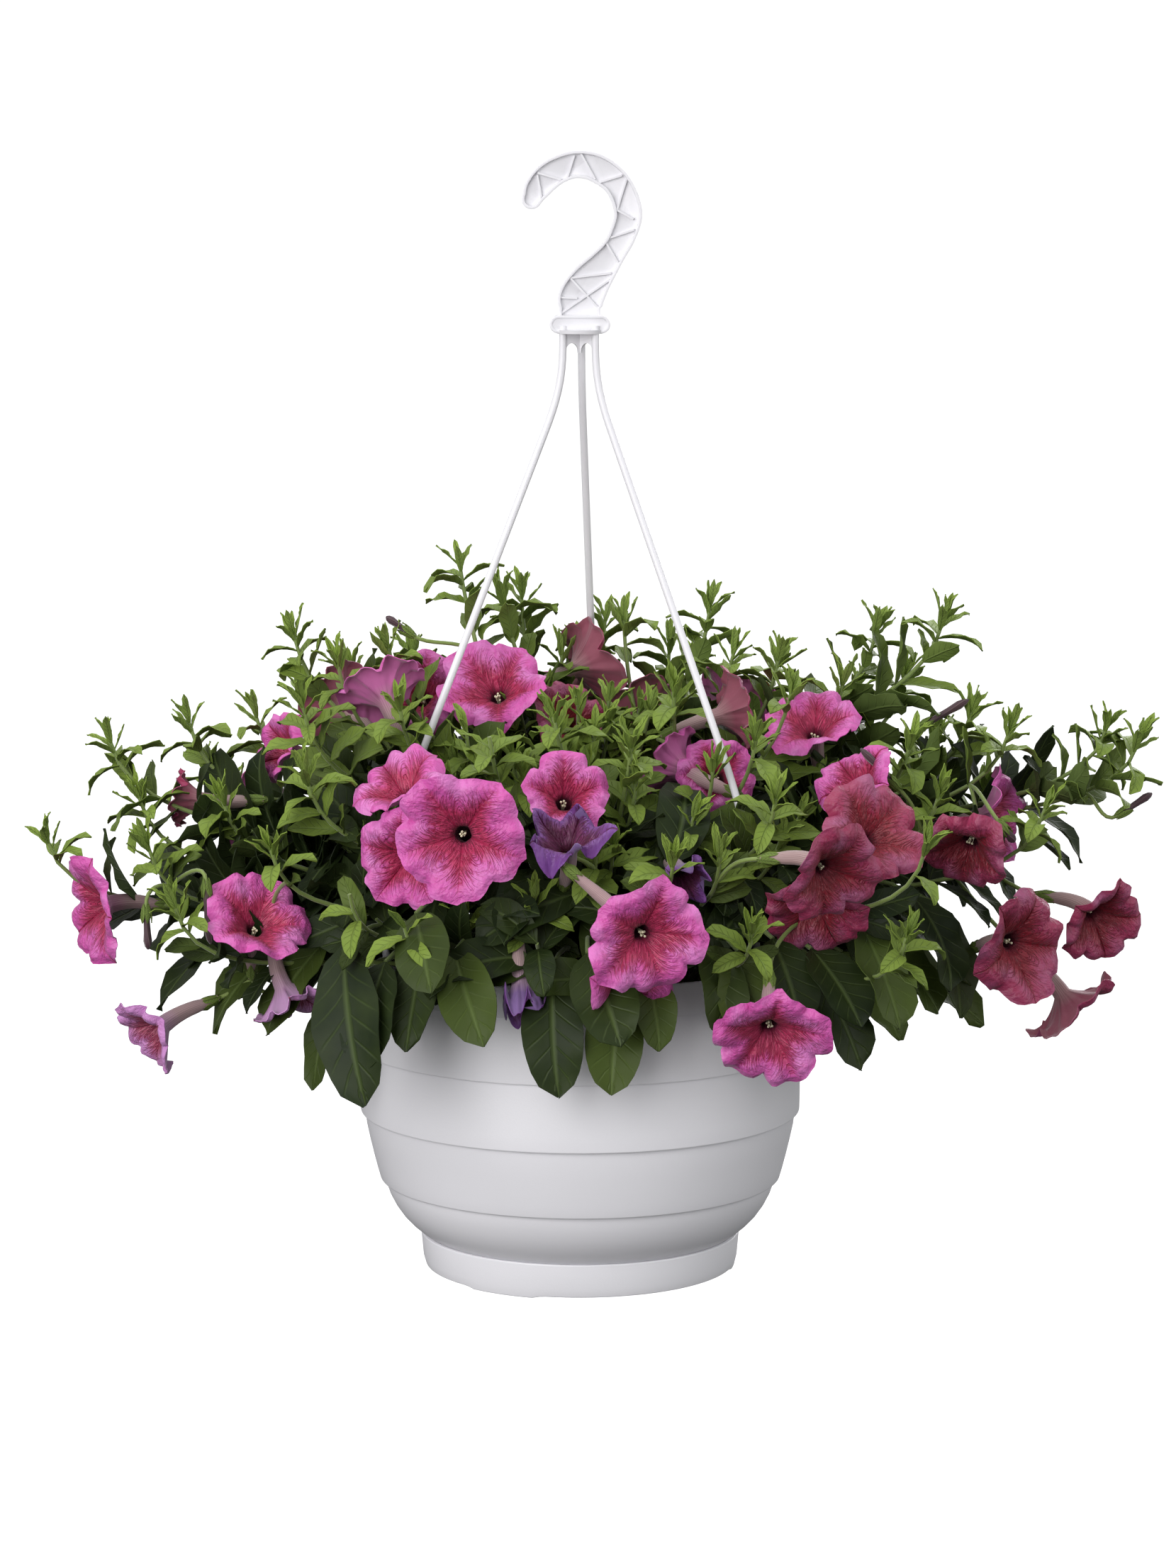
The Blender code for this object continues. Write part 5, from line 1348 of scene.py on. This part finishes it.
    def crown(self, points):
        """The last few old leaves of a short low shoot, spread round its end."""
        for number in range(CROWN_LEAVES):
            foot, along = below_tip(points, 5.0 * number)
            side = self.spoke(along)
            way = (along * self.dice.uniform(0.3, 0.8) + side).normalized()
            leaf = CROWN_LEAF * self.dice.uniform(0.6, 1.15)
            if self.room(foot, way, leaf):
                self.leaf(foot, way, (along * 0.5 + sunward(foot)).normalized(), leaf,
                          leaf * self.dice.uniform(0.36, 0.48), self.dice.uniform(0.8, 1.0),
                          droop=self.dice.uniform(0.3, 1.6), fold=self.dice.uniform(0.1, 0.5))

    def sepals(self, seat, way, size=1.0):
        """The green calyx: five narrow leaves round the foot of a flower or a bud."""
        for number in range(5):
            spoke = square_to(way, math.tau * number / 5)
            lean = (way * 0.93 + spoke * 0.30).normalized()
            self.leaf(seat - way * 0.002 + spoke * 0.0012, lean, -spoke, SEPAL_LENGTH * size,
                      SEPAL_WIDTH * size, 0.35, droop=-0.55, fold=0.3, slim=0.6, grid=(2, 4))

    def stalk(self, seat, way, look_back, lift, rest, thick, share=math.inf):
        """A thin stalk to a flower or a bud from the nearest stem of the shoot."""
        join = self.nearest_stem(seat - way * look_back) or self.start
        reach = seat - way * min((seat - join).length * share, rest)
        path = bezier(join, join.lerp(seat, 0.35) + UP * lift, reach, seat, STALK_POINTS)
        self.stem(path, 1.1, thick, 0.3)

    def nearest_stem(self, place):
        """The nearest point of the long stems that a stalk can rise from, if there is one."""
        best, found = 1.0, None
        for points in self.stems:
            for point in points[4:-2]:
                away = (point - place).length
                if away < best and point.z < place.z + 0.03:
                    best, found = away, point
        return found

    def long_stems(self):
        """The stems that reach the shoot's fixed tips, with their leaves."""
        for number, tip in enumerate(SHOOTS[self.name]["tips"]):
            end = at(*tip)
            flat = Vector((end.x - self.start.x, end.y - self.start.y, 0.0)).normalized()
            points = arc_to(self.start + ring(number * 2.4) * 0.004, end,
                            (flat * 0.22 + UP).normalized(), self.dice.uniform(-0.1, 0.1))
            self.stem(points, 1.7, 1.0, 0.5)
            self.stems.append(points)
            self.leaves_along(points)
            self.tuft(points)

    def rim_leaves(self):
        """The big old leaves that hang over the pot's rim, each on a long stalk."""
        for foot, tip, width in SHOOTS[self.name]["rim"]:
            base, end = at(*foot), at(*tip)
            outward = Vector((base.x, base.y, 0.0)).normalized()
            points = arc_to(self.start, base, (outward - UP * 0.6).normalized(), count=10)
            self.stem(points, 1.6, 1.2, 0.9)
            along = ((end - base).normalized() + outward * 0.35 + UP * 0.15).normalized()
            self.leaf(base, along, sunward(base).normalized(),
                      (end - base).length / MM * 1.05, width, self.dice.uniform(0.72, 1.0),
                      droop=self.dice.uniform(0.3, 0.7), fold=self.dice.uniform(0.1, 0.3),
                      slim=-0.1, grid=(6, 10))

    def closed_buds(self):
        """The shoot's buds, each a rolled spindle in a small calyx on its stalk."""
        for foot, tip, thick in SHOOTS[self.name]["buds"]:
            base, end = at(*foot), at(*tip)
            way = (end - base).normalized()
            self.stalk(base, way, 0.02, 0.005, 0.012, 1.1)
            path = [base.lerp(end, share) for share, _ in BUD_STATIONS]
            rod(self.bm, path, [thick / 2 * wide * MM for _, wide in BUD_STATIONS], 10,
                self.age, 0.2, cover=3)
            self.sepals(base, way, 0.8)

    def filling(self):
        """Short side shoots between the long ones: old leaves low down, upright tips above."""
        for number in range(FILL_STEMS):
            turn = number * GOLDEN_ANGLE
            lift = math.radians(-8 + 90 * (number + 0.5) / FILL_STEMS)
            dice = random.Random(number)
            reach = dice.uniform(0.84, 1.0)
            height = DOME[2] + DOME[3] * math.sin(lift) * reach
            low = height < LOW_CROWN
            flat = math.cos(lift) * reach * (0.5 + 0.5 * math.cos(lift)) * (0.86 if low else 1.0)
            place = at(math.cos(turn) * DOME[0] * flat, math.sin(turn) * DOME[1] * flat + 8,
                       height)
            if owner_of(place) != self.name or not open_way(place):
                continue
            root = at(place.x / MM * 0.3, place.y / MM * 0.3, SOIL_ROOT)
            outward = Vector((place.x, place.y, 0.0)).normalized()
            upward = (outward * (0.9 if low else 0.2) + UP).normalized()
            if not open_way(place + upward * 0.014):
                continue
            points = arc_to(root, place, upward, dice.uniform(-0.15, 0.15), 10)
            self.stem(points, 1.6, 1.0, 0.7, 5)
            if low:
                self.crown(points)
            else:
                self.leaves_along(points, 0.3, 14.0)
                self.tuft(points, 0.95, 9)

    def grow(self):
        """Grows the whole shoot and makes it a piece."""
        self.long_stems()
        self.rim_leaves()
        for flower in ALL_FLOWERS:
            if flower.shoot == self.name:
                self.stalk(flower.seat, flower.start, 0.03, 0.006, 0.03, 1.2, share=0.4)
                self.sepals(flower.seat, flower.start)
        self.closed_buds()
        self.filling()
        blades = [face for face in self.bm.faces if face.material_index == 0]
        thicken(self.bm, blades, self.thickness)
        new_piece("leafy_shoot_" + self.name, self.bm, ["leaf", "leaf under", "stem", "bud"],
                  ["shoot_" + self.name], angle=80.0)


def square_to(along, turn):
    """A direction square to another, turned about it."""
    side = along.orthogonal().normalized()
    side.rotate(Matrix.Rotation(turn, 3, along))
    return side


def shaded(point):
    """1 low in the crown and 0 at its top: leaves low down are older, and are also darkened there
    as painted shade.
    """
    return 1.0 - smooth(point.z, at(0, 0, 205).z, at(0, 0, 285).z)


def sunward(point):
    """The way that leaves turn their upper sides: outwards and up, most of all at the front."""
    return Vector((point.x * 4, point.y * 4 - 0.3, 0.6))


def below_tip(points, down):
    """The place a distance (mm) back from a stem's tip, and the stem's direction there."""
    left = down * MM
    for index in range(len(points) - 1, 0, -1):
        step = points[index] - points[index - 1]
        if left <= step.length or index == 1:
            return points[index] - step.normalized() * min(left, step.length), step.normalized()
        left -= step.length
    return points[0], UP


def open_way(point):
    """True where a leaf may stand: not before a flower, inside the pot, or out of the box."""
    if any(flower.hides(point) for flower in ALL_FLOWERS):
        return False
    low, high = CAD_BOX
    slack = PAST_BOX * MM
    if not all(low[axis] - slack < point[axis] < high[axis] + slack for axis in range(3)):
        return False
    level = math.hypot(point.x, point.y)
    if point.z < at(0, 0, RIM_TOP).z + ABOVE_RIM * MM and level < (RIM_RADIUS + OUTSIDE_RIM) * MM:
        return False
    return point.z < at(0, 0, HIGHEST_LEAF).z


def arc_to(start, end, upward, bend=0.0, count=ARC_POINTS):
    """A stem that rises from the soil, leans over and turns up to its tip."""
    run = end - start
    flat = Vector((run.x, run.y, 0.0))
    aside = Vector((-flat.y, flat.x, 0.0)) * bend
    lift = start + flat * STEM_LEAN + UP * max(run.z, LEAST_RISE * MM) * STEEP_SHARE + aside
    turned = min(run.length * TURN_SHARE, LONGEST_TURN * MM)
    return bezier(start, lift, end - upward * turned, end, count)


def owner_of(place):
    """The shoot whose root lies nearest to the line from the middle to a place."""
    toward = place.xy.normalized()
    return min(SHOOTS, key=lambda name: (
        toward - Vector(SHOOTS[name]["root"]).normalized()).length)


class BASKET_OT_shoots(bpy.types.Operator):
    """Grow the stems with their leaves, tip leaves, calyces and buds"""

    bl_idname = "basket.shoots"
    bl_label = "Shoots"

    def execute(self, context):
        for name in SHOOTS:
            Shoot(name).grow()
        return {"FINISHED"}


# ---- stage ----
CAMERA_PLACE, CAMERA_DIP, LENS = (4.3, -2337.6, 584.7), 7.79, 100.0
# the floor: radius where it starts to sweep up, radius of the sweep, height of the wall
FLOOR_FLAT, FLOOR_SWEEP, WALL_HEIGHT, FLOOR_SECTORS = 4200.0, 1600.0, 5000.0, 96
LIT_PLACE = Vector((0.0, 0.0, -0.40))
# light: width and height, place, colour
LIGHTS = {
    "key": ((1.9, 1.9), (-1.25, -1.95, 0.25), (1.0, 0.985, 0.99)),
    "top": ((1.6, 1.6), (-0.3, 0.2, 1.8), (1.0, 1.0, 1.0)),
    "side": ((1.4, 1.8), (2.2, -0.7, 0.1), (1.0, 1.0, 1.0)),
    "rear": ((1.6, 1.2), (0.9, 2.1, 0.5), (1.0, 1.0, 1.0)),
}


def area_light(name, strength, size, place, tint):
    """A soft rectangular lamp turned towards the basket."""
    light = bpy.data.lights.new(name, "AREA")
    light.shape = "RECTANGLE"
    light.size, light.size_y = size
    light.energy = strength
    light.color = tint
    lamp = bpy.data.objects.new(name, light)
    lamp.location = place
    lamp.rotation_mode = "QUATERNION"
    lamp.rotation_quaternion = (LIT_PLACE - lamp.location).to_track_quat("-Z", "Y")
    bpy.context.scene.collection.objects.link(lamp)


def studio_white():
    """A pale surface that keeps its own brightness, with room for a soft shadow."""
    return Finish("studio white", 0.9, (0.34, 0.34, 0.34), Specular_IOR_Level=0.0,
                  Emission_Color=(1.0, 1.0, 1.0), Emission_Strength=0.88).done()


def soft_surroundings(looks):
    """Even light all round, brighter from above than from below."""
    world = bpy.data.worlds.new("studio")
    world.use_nodes = True
    tree = world.node_tree
    height = put(tree, "SeparateXYZ", {0: put(tree, "TexCoord").outputs["Generated"]}).outputs[2]
    background = tree.nodes["Background"]
    feed(background.inputs["Color"], (0.98, 0.99, 1.0))
    feed(background.inputs["Strength"],
         Field(height).band(-0.45, 0.8, looks.ground, looks.sky))
    bpy.context.scene.world = world


class BASKET_OT_stage(bpy.types.Operator):
    """Set a pale floor that sweeps up all round, soft studio light and the camera"""

    bl_idname = "basket.stage"
    bl_label = "Stage"

    def execute(self, context):
        scene = context.scene
        looks = scene.basket_stage
        floor = -looks.drop / MM
        outline = [(0.0, floor)]
        outline += [(FLOOR_FLAT + sweep.x, floor + FLOOR_SWEEP + sweep.y)
                    for sweep in arc(-90, 0, 12, FLOOR_SWEEP)]
        outline.append((FLOOR_FLAT + FLOOR_SWEEP, floor + WALL_HEIGHT))
        mesh = bpy.data.meshes.new("studio floor")
        bm = lathe(outline, FLOOR_SECTORS)
        bm.to_mesh(mesh)
        bm.free()
        mesh.shade_smooth()
        mesh.materials.append(studio_white())
        stage = bpy.data.objects.new("studio_floor", mesh)
        stage.visible_diffuse = stage.visible_glossy = stage.visible_shadow = False
        scene.collection.objects.link(stage)

        soft_surroundings(looks)
        for name, settings in LIGHTS.items():
            area_light(name, getattr(looks, name), *settings)

        lens = bpy.data.cameras.new("camera")
        lens.lens, lens.sensor_width = LENS, 36.0
        camera = bpy.data.objects.new("camera", lens)
        camera.location = at(*CAMERA_PLACE)
        camera.rotation_euler = (math.radians(90.0 - CAMERA_DIP), 0.0, 0.0)
        scene.collection.objects.link(camera)
        scene.camera = camera
        scene.view_settings.view_transform = "Standard"
        return {"FINISHED"}


# ---- panel and registration ----
class BASKET_PT_panel(bpy.types.Panel):
    bl_idname = "BASKET_PT_panel"
    bl_label = "Petunia basket"
    bl_space_type = "VIEW_3D"
    bl_region_type = "UI"
    bl_category = "Basket"

    def draw(self, context):
        for name, group in GROUPS.items():
            box = self.layout.box()
            box.label(text=name.removeprefix("basket_").capitalize())
            for setting in group.__annotations__:
                box.prop(getattr(context.scene, name), setting)
        for operator in OPERATORS:
            self.layout.operator(operator.bl_idname)


GROUPS = {"basket_pot": PotSettings, "basket_hanger": HangerSettings,
          "basket_flowers": FlowerSettings, "basket_leaves": LeafSettings,
          "basket_stage": StageSettings}
OPERATORS = (BASKET_OT_stage, BASKET_OT_pot, BASKET_OT_saucer, BASKET_OT_soil,
             BASKET_OT_hanger, BASKET_OT_flowers, BASKET_OT_shoots)
CLASSES = (*GROUPS.values(), *OPERATORS, BASKET_PT_panel)


def register():
    for item in CLASSES:
        bpy.utils.register_class(item)
    for name, group in GROUPS.items():
        setattr(bpy.types.Scene, name, PointerProperty(type=group))


def unregister():
    for name in GROUPS:
        delattr(bpy.types.Scene, name)
    for item in reversed(CLASSES):
        bpy.utils.unregister_class(item)


def main():
    register()
    bpy.ops.basket.stage()
    bpy.ops.basket.pot()
    bpy.ops.basket.saucer()
    bpy.ops.basket.soil()
    bpy.ops.basket.hanger()
    bpy.ops.basket.flowers()
    bpy.ops.basket.shoots()
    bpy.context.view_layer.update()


if __name__ == "__main__":
    main()
